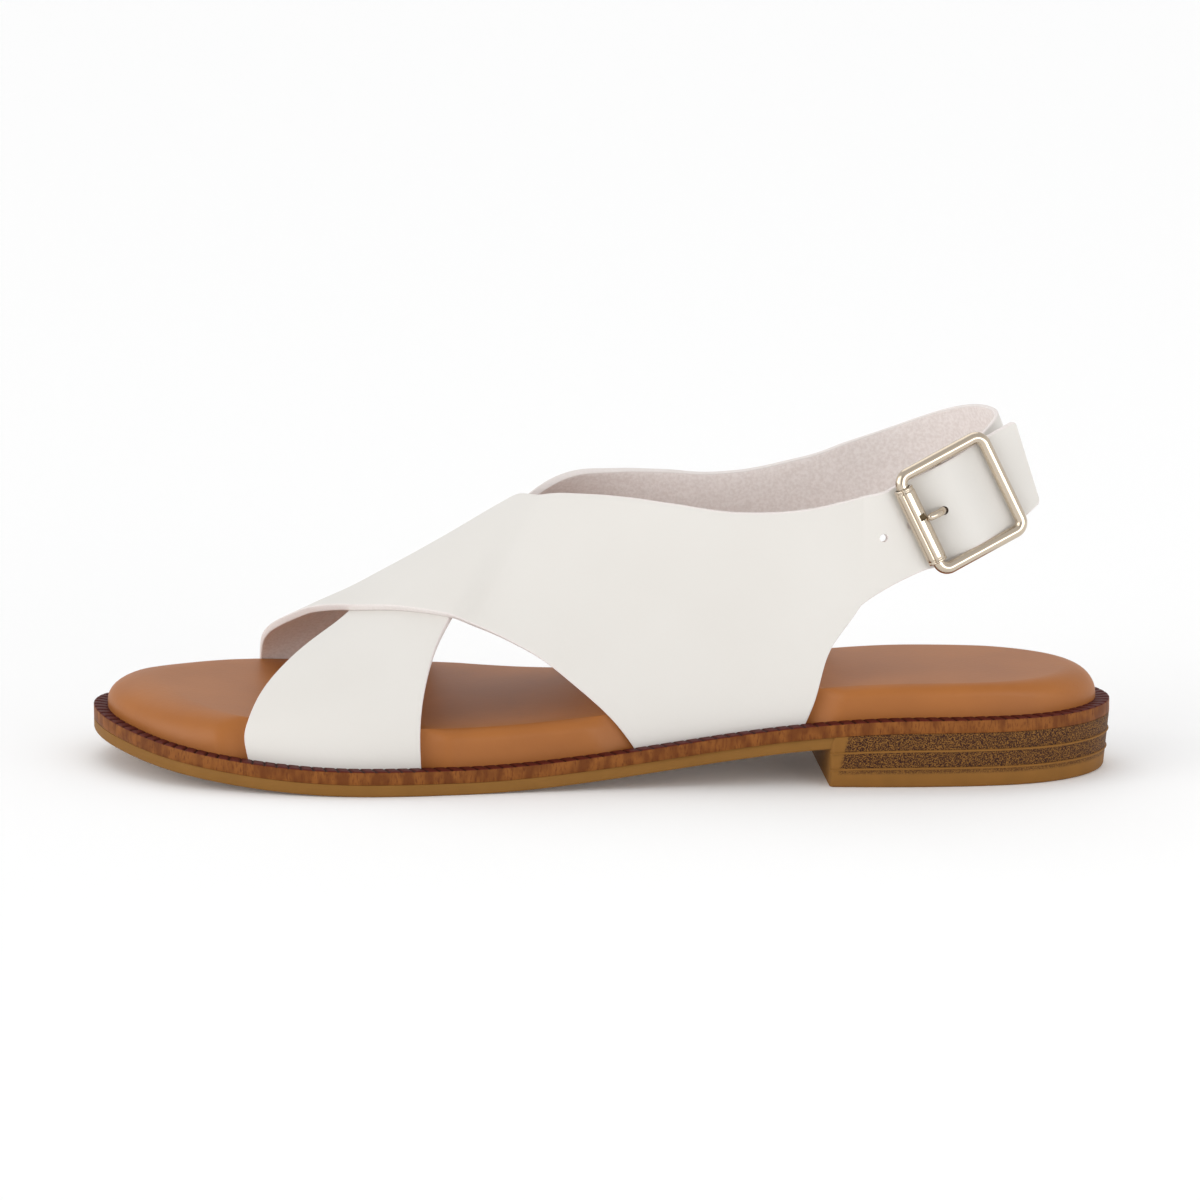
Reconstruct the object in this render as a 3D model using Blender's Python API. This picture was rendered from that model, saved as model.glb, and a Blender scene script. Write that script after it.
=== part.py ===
"""Cross-strap slingback sandal, a left shoe, in metres.

The toe points along -X, the outer side of the foot faces -Y and the sole stands on z = 0.
A station is the distance from the toe tip. A side offset is negative on the outer side.
"""
import math

import bmesh
import bpy
import numpy as np

# Driving dimensions
SHOE_LENGTH = 0.252
BALL_WIDTH = 0.0864
INSTEP_HEIGHT = 0.0626
TOE_SPRING = 0.0073
HEEL_RISE = 0.0107
CLEARANCE = 0.0003

# Sole layers
OUTSOLE_THICKNESS = 0.0030
MIDSOLE_THICKNESS = 0.0027
WELT_THICKNESS = 0.0010
WELT_WIDTH = 0.0034
INSOLE_HEIGHT_BALL = 0.0105
INSOLE_HEIGHT_HEEL = 0.0087
INSOLE_TILT_BALL = 0.0010
INSOLE_TILT_HEEL = 0.0003
INSOLE_EDGE_ROUND = 0.0030
INSOLE_TOE_ROUND = 0.0100
INSOLE_BACK_ROUND = 0.0080
INSOLE_TOE_DROP = 0.0003
SOLE_EDGE_ROUND = 0.0006
MIDSOLE_EDGE_ROUND = 0.0003
WELT_INSET = 0.0003
WAIST_TRIM = 0.0005

# Where the bottom profile changes
BALL_FRONT = 0.070
BALL_BACK = 0.092
HEEL_SEAT = 0.204
BREAST = (0.1820, 0.1780)  # on the outer side and on the inner side
WAIST_FRONT = 0.105
WAIST_BACK = 0.150
TOE_ROUND_REACH = 0.060
TOE_DROP_REACH = 0.040
BACK_ROUND_REACH = 0.030
BREAST_CORNER = 0.0010
HEEL_MIDDLE = -0.0050
HEEL_TAPER = 0.0013
RIB_PROUD = 0.00035

# Straps and buckle
STRAP_THICKNESS = 0.0018
FOLD_THICKNESS = 0.0012
STRAP_FUSE = 0.0004
CROSSING_RAMP_FRONT = 0.030
CROSSING_RAMP_BACK = 0.010
TAIL_WIDTH = 0.0217
TAIL_END_WIDTH = 0.0198
FOLD_WIDTH = 0.0172
TAIL_START = -0.0150
TAIL_END = 0.0199
TAIL_DRIFT = 0.0003
TAIL_SKEW = 0.15
HOLE_DIAMETER = 0.0019
FRAME_LENGTH = 0.0263
FRAME_WIDTH = 0.0283
FRAME_WIRE = 0.0030
FRAME_CORNER = 0.0024
ROLLER_DIAMETER = 0.0049
ROLLER_LENGTH = 0.0200
ROLLER_PLAY = 0.0003
CENTRE_BAR_WIRE = 0.0018
CENTRE_BAR_DROP = 0.0040
PRONG_WIRE = 0.0023
PRONG_PLAY = 0.0002

# Where the buckle sits: station, side offset, height, turn round Z and rise along the strap
BUCKLE_STATION = 0.2136
BUCKLE_SIDE = -0.0283
BUCKLE_HEIGHT = 0.0699
BUCKLE_TURN = math.radians(17.0)
BUCKLE_RISE = math.radians(25.8)

# Plan of the sole: name, station, outer side, inner side (shares of the length and the ball width)
OUTLINE = (
    ("toe tip", 0.000, 0.055, 0.055),
    ("toe front", 0.010, -0.085, 0.195),
    ("toe round", 0.030, -0.187, 0.278),
    ("toe side", 0.079, -0.336, 0.393),
    ("toe joint", 0.151, -0.437, 0.481),
    ("ball front", 0.222, -0.487, 0.501),
    ("ball", 0.294, -0.498, 0.497),
    ("ball back", 0.365, -0.472, 0.461),
    ("waist front", 0.456, -0.433, 0.366),
    ("waist", 0.556, -0.403, 0.292),
    ("waist back", 0.667, -0.385, 0.259),
    ("heel front", 0.774, -0.391, 0.271),
    ("heel", 0.865, -0.377, 0.265),
    ("heel round", 0.929, -0.333, 0.215),
    ("heel corner", 0.978, -0.226, 0.113),
    ("heel back", 1.000, -0.056, -0.056),
)

# Last: name, station share, ridge height share of the instep, ridge side share of the ball width, fullness
LAST = (
    ("toes", 0.079, 0.335, 0.116, 2.20),
    ("toe opening", 0.159, 0.450, 0.116, 2.20),
    ("toe joint", 0.190, 0.505, 0.104, 2.20),
    ("ball front", 0.222, 0.558, 0.093, 2.20),
    ("ball", 0.260, 0.617, 0.081, 2.15),
    ("ball back", 0.306, 0.716, 0.069, 2.10),
    ("crossing", 0.353, 0.828, 0.052, 2.10),
    ("instep front", 0.401, 0.950, 0.035, 2.05),
    ("instep", 0.421, 1.000, 0.023, 2.05),
    ("throat", 0.480, 1.190, -0.012, 2.00),
    ("ankle front", 0.520, 1.310, -0.029, 2.00),
    ("ankle", 0.583, 1.597, -0.046, 2.00),
    ("leg front", 0.635, 1.917, -0.058, 2.00),
    ("leg", 0.698, 2.364, -0.058, 2.00),
    ("leg back", 0.774, 2.875, -0.058, 2.00),
)

# Edges of the strap on top, from the inner toe side to the outer quarter:
# name, lower edge station and angle, upper edge station and angle.
# Angles run round the foot from 0 at the outer feather line to 180 at the inner one.
OVER_STRAP = (
    ("toe base", 0.0408, 180.0, 0.0824, 180.0),
    ("toe wall", 0.0400, 165.0, 0.0822, 167.0),
    ("toe side", 0.0402, 148.0, 0.0836, 154.0),
    ("toe shoulder", 0.0416, 126.0, 0.0871, 139.7),
    ("front corner", 0.0466, 106.0, 0.0930, 127.0),
    ("front ridge", 0.0556, 88.0, 0.1000, 111.0),
    ("front edge", 0.0640, 75.0, 0.1068, 92.0),
    ("front slope", 0.0728, 64.0, 0.1121, 80.1),
    ("over crossing", 0.0828, 52.8, 0.1170, 71.6),
    ("past crossing", 0.0928, 42.7, 0.1217, 64.7),
    ("instep side", 0.1025, 32.9, 0.1266, 60.0),
    ("quarter slope", 0.1112, 24.2, 0.1312, 55.4),
    ("quarter run", 0.1183, 16.8, 0.1358, 50.6),
    ("quarter low", 0.1243, 10.9, 0.1407, 45.5),
    ("quarter toe", 0.1298, 5.4, 0.1450, 41.6),
    ("base front", 0.1343, 0.0, 0.1490, 38.2),
)
OVER_QUARTER = (
    ("base front", 0.1343, 0.0, 0.1490, 38.2),
    ("base second", 0.1450, 0.0, 0.1560, 32.6),
    ("base middle", 0.1560, 0.0, 0.1630, 28.6),
    ("base third", 0.1660, 0.0, 0.1702, 25.2),
    ("base back", 0.1760, 0.0, 0.1767, 23.2),
)
OVER_RISE = (
    ("base back", 0.1760, 0.0, 0.1767, 23.2),
    ("back edge low", 0.1789, 3.0, 0.1800, 22.4),
    ("back edge", 0.1814, 6.6, 0.1835, 21.8),
    ("back edge high", 0.1851, 9.0, 0.1868, 21.2),
    ("tail start", 0.1895, 10.6, 0.1900, 20.8),
)

# Edges of the strap underneath, from the outer toe side to the inner quarter
UNDER_STRAP = (
    ("toe base", 0.0409, 0.0, 0.0824, 0.0),
    ("toe wall", 0.0399, 11.2, 0.0821, 9.0),
    ("toe side", 0.0407, 21.0, 0.0826, 19.2),
    ("toe shoulder", 0.0430, 33.7, 0.0849, 32.9),
    ("front corner", 0.0464, 44.6, 0.0871, 40.3),
    ("front ridge", 0.0526, 57.0, 0.0910, 48.5),
    ("front edge", 0.0598, 66.8, 0.0965, 61.0),
    ("front slope", 0.0655, 76.0, 0.1020, 76.0),
    ("under crossing", 0.0710, 91.0, 0.1072, 88.0),
    ("past crossing", 0.0768, 110.0, 0.1134, 98.8),
    ("instep side", 0.0850, 128.0, 0.1194, 108.6),
    ("quarter slope", 0.0955, 140.5, 0.1254, 116.5),
    ("quarter run", 0.1060, 150.5, 0.1313, 122.8),
    ("quarter low", 0.1170, 161.8, 0.1372, 129.5),
    ("quarter toe", 0.1265, 171.4, 0.1431, 135.3),
    ("base front", 0.1343, 180.0, 0.1490, 140.7),
)
UNDER_QUARTER = (
    ("base front", 0.1343, 180.0, 0.1490, 140.7),
    ("base second", 0.1450, 180.0, 0.1550, 145.1),
    ("base middle", 0.1560, 180.0, 0.1620, 149.0),
    ("base third", 0.1660, 180.0, 0.1690, 152.0),
    ("base back", 0.1760, 180.0, 0.1760, 154.2),
)
UNDER_RISE = (
    ("base back", 0.1760, 180.0, 0.1760, 154.2),
    ("back edge low", 0.1795, 177.0, 0.1793, 155.0),
    ("back edge", 0.1823, 173.2, 0.1825, 155.6),
    ("back edge high", 0.1860, 169.8, 0.1853, 156.0),
)

# Middle line of the heel sling: name, station, side offset, height
SLING = (
    ("inner ankle", 0.2020, 0.0176, 0.0712),
    ("inner heel", 0.2130, 0.0126, 0.0760),
    ("inner back", 0.2205, 0.0050, 0.0790),
    ("heel back", 0.2252, -0.0045, 0.0801),
    ("outer back", 0.2260, -0.0125, 0.0787),
)
SLING_WIDTH = 0.0200
SLING_LEAN = math.radians(22.0)

# How the sling comes to the centre bar: name, place along the strap, width, depth past the fold
SLING_END = (
    ("behind the frame", 0.0100, SLING_WIDTH, 0.0017),
    ("at the fold", 0.0050, FOLD_WIDTH, 0.0004),
)

# The fold's outer leaf: name, place along the strap, drop from the fold
FOLD_LEAF = (
    ("leaf start", 0.0024, 0.0001),
    ("leaf end", 0.0050, 0.0007),
)

# Depth of the tail's middle surface in the buckle: name, place along the strap, depth from the frame
TAIL_DEPTHS = (
    ("under the roller", -0.01165, -0.00365),
    ("over the centre bar", 0.0, 0.0003),
    ("under the back bar", 0.01165, -0.0027),
)
HOLE_PLACES = (-0.0201, -0.0133)
HOLE_REACH = (-0.008, 0.006)

# Bend at each end of the centre bar: name, distance in from the frame, share of the drop
BAR_BEND = (
    ("in the frame", 0.0, 0.0),
    ("going down", 0.0006, 0.55),
    ("bend", 0.0016, 0.92),
    ("level", 0.0026, 1.0),
)

# Middle line of the prong: name, place along the strap, depth from the frame
PRONG_SHANK = (
    ("under the tail", -0.0031, -0.0031),
    ("through the hole", -0.0054, 0.0003),
    ("bend", -0.0072, 0.0014),
    ("tip", -0.0098, 0.0019),
)
PRONG_SIDE = 0.0010

# How finely the solids are cut
OUTLINE_SAMPLES = 1600
SOLE_STEPS = 44
STRAP_COLUMNS = 7
WIRE_SIDES = 10

for old in list(bpy.data.objects):
    bpy.data.objects.remove(old, do_unlink=True)


def smooth_step(share):
    share = np.clip(share, 0.0, 1.0)
    return share * share * (3.0 - 2.0 * share)


def curve_through(values, points, wanted):
    """A smooth curve through the points, read at the wanted values, without overshoot."""
    x = np.asarray(values, float)
    y = np.asarray(points, float)
    step = np.diff(x)
    slope = np.diff(y) / step
    tangent = np.zeros(len(x))
    tangent[0] = slope[0]
    tangent[-1] = slope[-1]
    same_way = slope[:-1] * slope[1:] > 0.0
    near = 2.0 * step[1:] + step[:-1]
    far = step[1:] + 2.0 * step[:-1]
    safe_a = np.where(same_way, slope[:-1], 1.0)
    safe_b = np.where(same_way, slope[1:], 1.0)
    tangent[1:-1] = np.where(same_way, (near + far) / (near / safe_a + far / safe_b), 0.0)
    wanted = np.asarray(wanted, float)
    cell = np.clip(np.searchsorted(x, wanted, side="right") - 1, 0, len(step) - 1)
    width = step[cell]
    t = (wanted - x[cell]) / width
    return ((1 + 2 * t) * (1 - t) ** 2 * y[cell] + t * (1 - t) ** 2 * width * tangent[cell]
            + t * t * (3 - 2 * t) * y[cell + 1] + t * t * (t - 1) * width * tangent[cell + 1])


def spline_matrix(knots, closed):
    """The equations for the second derivatives of a cubic spline with these knot spacings."""
    count = len(knots) if closed else len(knots) + 1
    matrix = np.zeros((count, count))
    for row in range(count):
        if not closed and row in (0, count - 1):
            matrix[row, row] = 1.0
            continue
        before, after = knots[row - 1], knots[row % len(knots)]
        matrix[row, (row - 1) % count] += before
        matrix[row, row] += 2.0 * (before + after)
        matrix[row, (row + 1) % count] += after
    return matrix


def spline(points, count, closed=False):
    """A cubic spline through points of any size, sampled evenly in its own parameter."""
    points = np.asarray(points, float)
    flat = points.reshape(len(points), -1)
    chord = np.diff(np.vstack([flat, flat[:1]]) if closed else flat, axis=0)
    knots = np.sqrt(np.linalg.norm(chord, axis=1))
    right = np.zeros_like(flat)
    for row in range(len(flat)):
        if not closed and row in (0, len(flat) - 1):
            continue
        after = chord[row % len(chord)] / knots[row % len(knots)]
        right[row] = 6.0 * (after - chord[row - 1] / knots[row - 1])
    bend = np.linalg.solve(spline_matrix(knots, closed), right)
    ends = np.concatenate([[0.0], np.cumsum(knots)])
    place = np.linspace(0.0, ends[-1], count, endpoint=not closed)
    cell = np.clip(np.searchsorted(ends, place, side="right") - 1, 0, len(knots) - 1)
    following = (cell + 1) % len(flat)
    width = knots[cell][:, None]
    t = (place - ends[cell])[:, None]
    rest = width - t
    curve = ((bend[cell] * rest ** 3 + bend[following] * t ** 3) / (6.0 * width)
             + (flat[cell] / width - bend[cell] * width / 6.0) * rest
             + (flat[following] / width - bend[following] * width / 6.0) * t)
    return curve.reshape((count,) + points.shape[1:])


def feather_height(station):
    """Height of the midsole's bottom: toe spring in front, flat at the ball, raised at the heel."""
    spring = TOE_SPRING * np.maximum(0.0, 1.0 - station / BALL_FRONT) ** 2
    heel = HEEL_RISE * smooth_step((station - BALL_BACK) / (HEEL_SEAT - BALL_BACK))
    return OUTSOLE_THICKNESS + spring + heel


def full_outline():
    """The sole's plan as a closed curve, from the toe tip along the outer side and back."""
    outer = [(station * SHOE_LENGTH, side * BALL_WIDTH) for _, station, side, _ in OUTLINE]
    inner = [(station * SHOE_LENGTH, side * BALL_WIDTH) for _, station, _, side in OUTLINE[-2:0:-1]]
    return spline(outer + inner, OUTLINE_SAMPLES, closed=True)


PLAN = full_outline()
PLAN_SHIFT = -0.5 * (PLAN[:, 1].min() + PLAN[:, 1].max())


def plan_sides(inset):
    """The outer and inner halves of the plan, moved in by an inset at each sample."""
    along = np.roll(PLAN, -1, axis=0) - np.roll(PLAN, 1, axis=0)
    along /= np.linalg.norm(along, axis=1)[:, None]
    inward = np.stack([-along[:, 1], along[:, 0]], axis=1)
    moved = PLAN + inward * np.broadcast_to(inset, len(PLAN))[:, None]
    toe = int(np.argmin(moved[:, 0]))
    moved = np.roll(moved, -toe, axis=0)
    back = int(np.argmax(moved[:, 0]))
    outer = moved[:back + 1]
    inner = np.vstack([moved[back:], moved[:1]])[::-1]
    return outer, inner


def side_offsets(halves, stations):
    """The outer and inner side offsets at the stations."""
    return [np.interp(stations, half[:, 0], half[:, 1]) for half in halves]


def even_stations(first, last, round_first, round_last, count=SOLE_STEPS):
    """Stations from first to last, closer together at an end that is rounded in plan."""
    share = np.linspace(0.0, 1.0, count + 1)
    if round_first and round_last:
        share = 0.5 - 0.5 * np.cos(math.pi * share)
    elif round_first:
        share = 1.0 - np.cos(0.5 * math.pi * share)
    elif round_last:
        share = np.sin(0.5 * math.pi * share)
    return first + (last - first) * share


def world(station, side, height):
    """Stacks stations, side offsets and heights into points centred on the shoe's box."""
    station, side, height = np.broadcast_arrays(station, side, height)
    return np.stack([station - 0.5 * SHOE_LENGTH, side + PLAN_SHIFT, height], axis=-1)


def object_from(name, points, faces, colour=(0.5, 0.5, 0.5), roughness=0.5, metallic=0.0):
    """A mesh object with merged points, outward faces and its own material."""
    mesh = bpy.data.meshes.new(name)
    work = bmesh.new()
    corners = [work.verts.new(point) for point in np.asarray(points, float)]
    for face in faces:
        ring = []
        for index in face:
            if corners[index] not in ring:
                ring.append(corners[index])
        if len(ring) > 2:
            work.faces.new(ring)
    bmesh.ops.remove_doubles(work, verts=work.verts, dist=1e-7)
    bmesh.ops.dissolve_degenerate(work, edges=work.edges, dist=1e-7)
    bmesh.ops.recalc_face_normals(work, faces=work.faces)
    work.to_mesh(mesh)
    work.free()
    made = bpy.data.objects.new(name, mesh)
    bpy.context.collection.objects.link(made)
    made.data.materials.append(plain_material(name, colour, roughness, metallic))
    return made


def plain_material(name, colour, roughness, metallic):
    material = bpy.data.materials.new(name)
    material.use_nodes = True
    shader = material.node_tree.nodes["Principled BSDF"]
    shader.inputs["Base Color"].default_value = (*colour, 1.0)
    shader.inputs["Roughness"].default_value = roughness
    shader.inputs["Metallic"].default_value = metallic
    return material


def combine(target, other, operation):
    """Applies a Boolean of another object to the target and removes that other object."""
    step = target.modifiers.new(operation.lower(), "BOOLEAN")
    step.operation = operation
    step.solver = "EXACT"
    step.object = other
    bpy.context.view_layer.update()
    shaped = target.evaluated_get(bpy.context.evaluated_depsgraph_get())
    result = bpy.data.meshes.new_from_object(shaped)
    target.modifiers.clear()
    target.data = result
    bpy.data.objects.remove(other, do_unlink=True)


def slab(name, levels, **finish):
    """A closed solid from levels of outer and inner rows, lowest first."""
    points = []
    faces = []
    count = len(levels[0][0])
    for outer, inner in levels:
        points.extend(outer)
        points.extend(inner)

    def corner(level, side, step):
        return (2 * level + side) * count + step

    for level in range(len(levels) - 1):
        for side in (0, 1):
            for step in range(count - 1):
                faces.append((corner(level, side, step), corner(level, side, step + 1),
                              corner(level + 1, side, step + 1), corner(level + 1, side, step)))
        for step in (0, count - 1):
            faces.append((corner(level, 0, step), corner(level, 1, step),
                          corner(level + 1, 1, step), corner(level + 1, 0, step)))
    for level in (0, len(levels) - 1):
        for step in range(count - 1):
            faces.append((corner(level, 0, step), corner(level, 0, step + 1),
                          corner(level, 1, step + 1), corner(level, 1, step)))
    return object_from(name, points, merge_ends(points, faces), **finish)


def merge_ends(points, faces):
    """Gives points that lie on each other one index, so that rounded ends close cleanly."""
    keys = {}
    index = []
    for place, point in enumerate(points):
        index.append(keys.setdefault(tuple(np.round(point, 8)), place))
    return [[index[corner] for corner in face] for face in faces]


def sole_level(inset, height, first=None, last=None):
    """One level of a sole layer; where it is cut across, first or last gives the outer and inner stations."""
    level = []
    for side, half in enumerate(plan_sides(inset)):
        start = half[0, 0] if first is None else first[side]
        end = half[-1, 0] if last is None else last[side]
        stations = even_stations(start, end, first is None, last is None)
        level.append(world(stations, np.interp(stations, half[:, 0], half[:, 1]), height(stations)))
    return level


# Outsole: rubber forepart and waist, flat under the ball, ending at the heel breast
def outsole_trim(extra):
    trim = WAIST_TRIM * smooth_step((PLAN[:, 0] - WAIST_FRONT) / (WAIST_BACK - WAIST_FRONT))
    return trim + extra


def build_outsole():
    levels = []
    for extra, lift in ((SOLE_EDGE_ROUND, 0.0), (0.0, SOLE_EDGE_ROUND),
                        (0.0, OUTSOLE_THICKNESS - CLEARANCE)):
        levels.append(sole_level(
            outsole_trim(extra),
            lambda station, lift=lift: feather_height(station) - OUTSOLE_THICKNESS + lift,
            last=np.array(BREAST) - CLEARANCE))
    return slab("outsole", levels, colour=(0.29, 0.14, 0.05), roughness=0.6)


# Heel: moulded block with two raised ribs, narrower at the floor, its breast square to the heel's own axis
HEEL_LEVELS = (
    ("tread edge", 0.000, 0.0006),
    ("tread", 0.045, 0.0),
    ("band top", 0.330, 0.0),
    ("lower rib foot", 0.334, -RIB_PROUD),
    ("lower rib top", 0.372, -RIB_PROUD),
    ("lower lift", 0.376, 0.0),
    ("lower lift top", 0.652, 0.0),
    ("upper rib foot", 0.656, -RIB_PROUD),
    ("upper rib top", 0.694, -RIB_PROUD),
    ("upper lift", 0.698, 0.0),
    ("seat", 1.000, 0.0),
)


def build_heel():
    levels = []
    reach = np.clip(BREAST_CORNER - (PLAN[:, 0] - np.where(PLAN[:, 1] < HEEL_MIDDLE, *BREAST)), 0.0, BREAST_CORNER)
    corner = BREAST_CORNER - np.sqrt(BREAST_CORNER ** 2 - reach ** 2)
    for _, share, inset in HEEL_LEVELS:
        levels.append(sole_level(
            corner + inset + HEEL_TAPER * (1.0 - share),
            lambda station, share=share: share * (feather_height(station) - CLEARANCE),
            first=BREAST))
    return slab("heel", levels, colour=(0.12, 0.05, 0.025), roughness=0.6)


# Midsole: thin board between outsole and welt, the whole length of the shoe
def build_midsole():
    round_edge = MIDSOLE_EDGE_ROUND
    levels = []
    for inset, lift in ((round_edge, 0.0), (0.0, round_edge), (0.0, MIDSOLE_THICKNESS - round_edge),
                        (round_edge, MIDSOLE_THICKNESS)):
        levels.append(sole_level(inset, lambda station, lift=lift: feather_height(station) + lift))
    return slab("midsole", levels, colour=(0.2, 0.075, 0.03), roughness=0.5)


# Welt: flat strip round the rim of the midsole, outside insole and straps
def build_welt():
    foot = MIDSOLE_THICKNESS + CLEARANCE
    top = MIDSOLE_THICKNESS + WELT_THICKNESS
    section = ((WELT_INSET, foot), (WELT_INSET, top), (WELT_WIDTH, top), (WELT_WIDTH, foot))
    rings = []
    for inset, lift in section:
        outer, inner = sole_level(inset, lambda station, lift=lift: feather_height(station) + lift)
        rings.append(np.vstack([outer, inner[-2:0:-1]]))
    count = len(rings[0])
    faces = []
    for ring in range(4):
        following = (ring + 1) % 4
        for step in range(count):
            other = (step + 1) % count
            faces.append((ring * count + step, ring * count + other,
                          following * count + other, following * count + step))
    return object_from("welt", np.vstack(rings), faces, colour=(0.1, 0.03, 0.02), roughness=0.5)


# Last: the surface that the straps' inner faces follow
LAST_HALVES = plan_sides(WELT_WIDTH + CLEARANCE + STRAP_THICKNESS)


def last_section(station):
    """Ridge height, ridge side, curve power, feather height and both feather sides of the last."""
    rows = np.array([row[1:] for row in LAST])
    stations = rows[:, 0] * SHOE_LENGTH
    ridge = curve_through(stations, rows[:, 1] * INSTEP_HEIGHT, station)
    crest = curve_through(stations, rows[:, 2] * BALL_WIDTH, station)
    power = 2.0 / curve_through(stations, rows[:, 3], station)
    foot = feather_height(station) + MIDSOLE_THICKNESS + CLEARANCE
    outer, inner = side_offsets(LAST_HALVES, station)
    return ridge, crest, power, foot, outer, inner


def last_raw(station, angle):
    """Points on the last at stations and at angles in degrees round the foot."""
    ridge, crest, power, foot, outer, inner = last_section(station)
    across = np.cos(np.radians(angle))
    up = np.clip(np.sin(np.radians(angle)), 0.0, 1.0)
    base = np.where(across > 0.0, outer, inner)
    side = crest + (base - crest) * np.abs(across) ** power
    return world(station, side, foot + (ridge - foot) * up ** power)


def last_sides(station, height):
    """Side offsets of the last's outer and inner wall at a height."""
    ridge, crest, power, foot, outer, inner = last_section(station)
    up = np.clip((height - foot) / (ridge - foot), 0.0, 1.0) ** (1.0 / power)
    across = np.sqrt(1.0 - up * up) ** power
    return crest + (outer - crest) * across, crest + (inner - crest) * across


def last_points(station, angle, lift):
    """Points at a lift off the last, along its outward normal."""
    station, angle = np.broadcast_arrays(np.asarray(station, float), np.asarray(angle, float))
    along = last_raw(station + 0.0002, angle) - last_raw(station - 0.0002, angle)
    around = (last_raw(station, np.minimum(angle + 0.4, 179.99))
              - last_raw(station, np.maximum(angle - 0.4, 0.01)))
    normal = np.cross(along, around)
    normal /= np.linalg.norm(normal, axis=-1)[..., None]
    outward = np.stack([np.zeros_like(angle), -np.cos(np.radians(angle)),
                        np.sin(np.radians(angle))], axis=-1)
    normal *= np.sign((normal * outward).sum(-1))[..., None]
    return last_raw(station, angle) + normal * np.asarray(lift)[..., None]


# Insole: padded footbed inside the welt, drawn in where each strap goes down beside it
POCKETS = (
    # name, front at the foot and at the top, back at the foot and at the top
    ("toe pocket", 0.0393, 0.0388, 0.0831, 0.0831),
    ("quarter pocket", 0.1335, 0.1248, 0.1768, 0.1815),
)
INSOLE_RUNS = (9, 11, 9, 11, 11)
POCKET_LIP = 0.0001
POCKET_ROOM = 0.0006


def insole_height(station, offset):
    """Height above the midsole at a side offset; it rises a little towards the inner side."""
    share = smooth_step((station - BALL_BACK) / (HEEL_SEAT - BALL_BACK))
    toe = INSOLE_TOE_DROP * np.maximum(0.0, 1.0 - station / TOE_DROP_REACH)
    middle = INSOLE_HEIGHT_BALL + (INSOLE_HEIGHT_HEEL - INSOLE_HEIGHT_BALL) * share - toe
    tilt = INSOLE_TILT_BALL + (INSOLE_TILT_HEEL - INSOLE_TILT_BALL) * share
    return middle + tilt * offset / (0.5 * BALL_WIDTH)


def insole_round(station):
    """How far the rounding of the insole's edge reaches in, longer at the toe and the heel back."""
    toe = np.maximum(0.0, 1.0 - station / TOE_ROUND_REACH) ** 1.5
    back = np.maximum(0.0, 1.0 - (SHOE_LENGTH - station) / BACK_ROUND_REACH) ** 1.5
    return (INSOLE_EDGE_ROUND + (INSOLE_TOE_ROUND - INSOLE_EDGE_ROUND) * toe
            + (INSOLE_BACK_ROUND - INSOLE_EDGE_ROUND) * back)


def insole_rim(station, offset, rise):
    """Height above the midsole at a share of the rim: up to 1 on the wall, from there on the rounding."""
    drop = np.minimum(insole_round(station), 0.80 * insole_height(station, offset))
    wall = insole_height(station, offset) - drop
    return wall * min(rise, 1.0) + max(rise - 1.0, 0.0) * drop


def insole_stations(start, end, height_share):
    """Stations in runs from the toe to the heel, with a mask of those beside a strap."""
    marks = [start]
    for _, front, front_top, back, back_top in POCKETS:
        marks.append(front + (front_top - front) * height_share)
        marks.append(back + (back_top - back) * height_share)
    marks.append(end)
    runs = []
    beside = []
    for run, count in enumerate(INSOLE_RUNS):
        first = marks[run] + (POCKET_LIP if run > 0 else 0.0)
        last = marks[run + 1] - (POCKET_LIP if run < len(INSOLE_RUNS) - 1 else 0.0)
        runs.append(even_stations(first, last, run == 0, run == len(INSOLE_RUNS) - 1, count))
        beside.append(np.full(count + 1, run % 2 == 1))
    return np.concatenate(runs), np.concatenate(beside)


def build_insole():
    foot = MIDSOLE_THICKNESS + CLEARANCE
    steps = [(0.0, 0.0), (0.0, 0.5)]
    for turn in np.radians((0.0, 25.0, 50.0, 72.0, 90.0)):
        steps.append((1.0 - math.cos(turn), 1.0 + math.sin(turn)))
    levels = []
    for inward, rise in steps:
        halves = plan_sides(WELT_WIDTH + CLEARANCE + inward * insole_round(PLAN[:, 0]))
        stations, beside = insole_stations(halves[0][0, 0], halves[0][-1, 0], min(1.0, 0.6 * rise))
        level = []
        for side, offsets in zip((-1, 1), side_offsets(halves, stations)):
            heights = feather_height(stations) + foot + insole_rim(stations, offsets, rise)
            strap = last_sides(stations, heights)[max(side, 0)] - side * POCKET_ROOM
            offsets = np.where(beside, side * np.minimum(side * offsets, side * strap), offsets)
            level.append(world(stations, offsets, heights))
        level[1][[0, -1]] = level[0][[0, -1]]
        levels.append(level)
    return slab("insole", levels, colour=(0.36, 0.17, 0.07), roughness=0.4)


# Straps: ribbons between a lower and an upper edge on the last
def edge_rows(table, count):
    """Evenly sampled edge values of a strap table: lower station and angle, upper station and angle."""
    rows = np.array([row[1:] for row in table])
    scale = np.array([1.0, 0.0005, 1.0, 0.0005])
    return spline(rows * scale, count) / scale


def crossing_raise(station, angle):
    """How far the top strap is lifted where the strap underneath passes below it."""
    rows = np.array([row[1:] for row in UNDER_STRAP])
    front = curve_through(rows[:, 1], rows[:, 0], angle)
    back = curve_through(rows[:, 3], rows[:, 2], angle)
    rising = smooth_step(1.0 + (station - front) / CROSSING_RAMP_FRONT)
    falling = smooth_step(1.0 + (back - station) / CROSSING_RAMP_BACK)
    return (STRAP_THICKNESS - STRAP_FUSE) * np.minimum(rising, falling)


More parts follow.
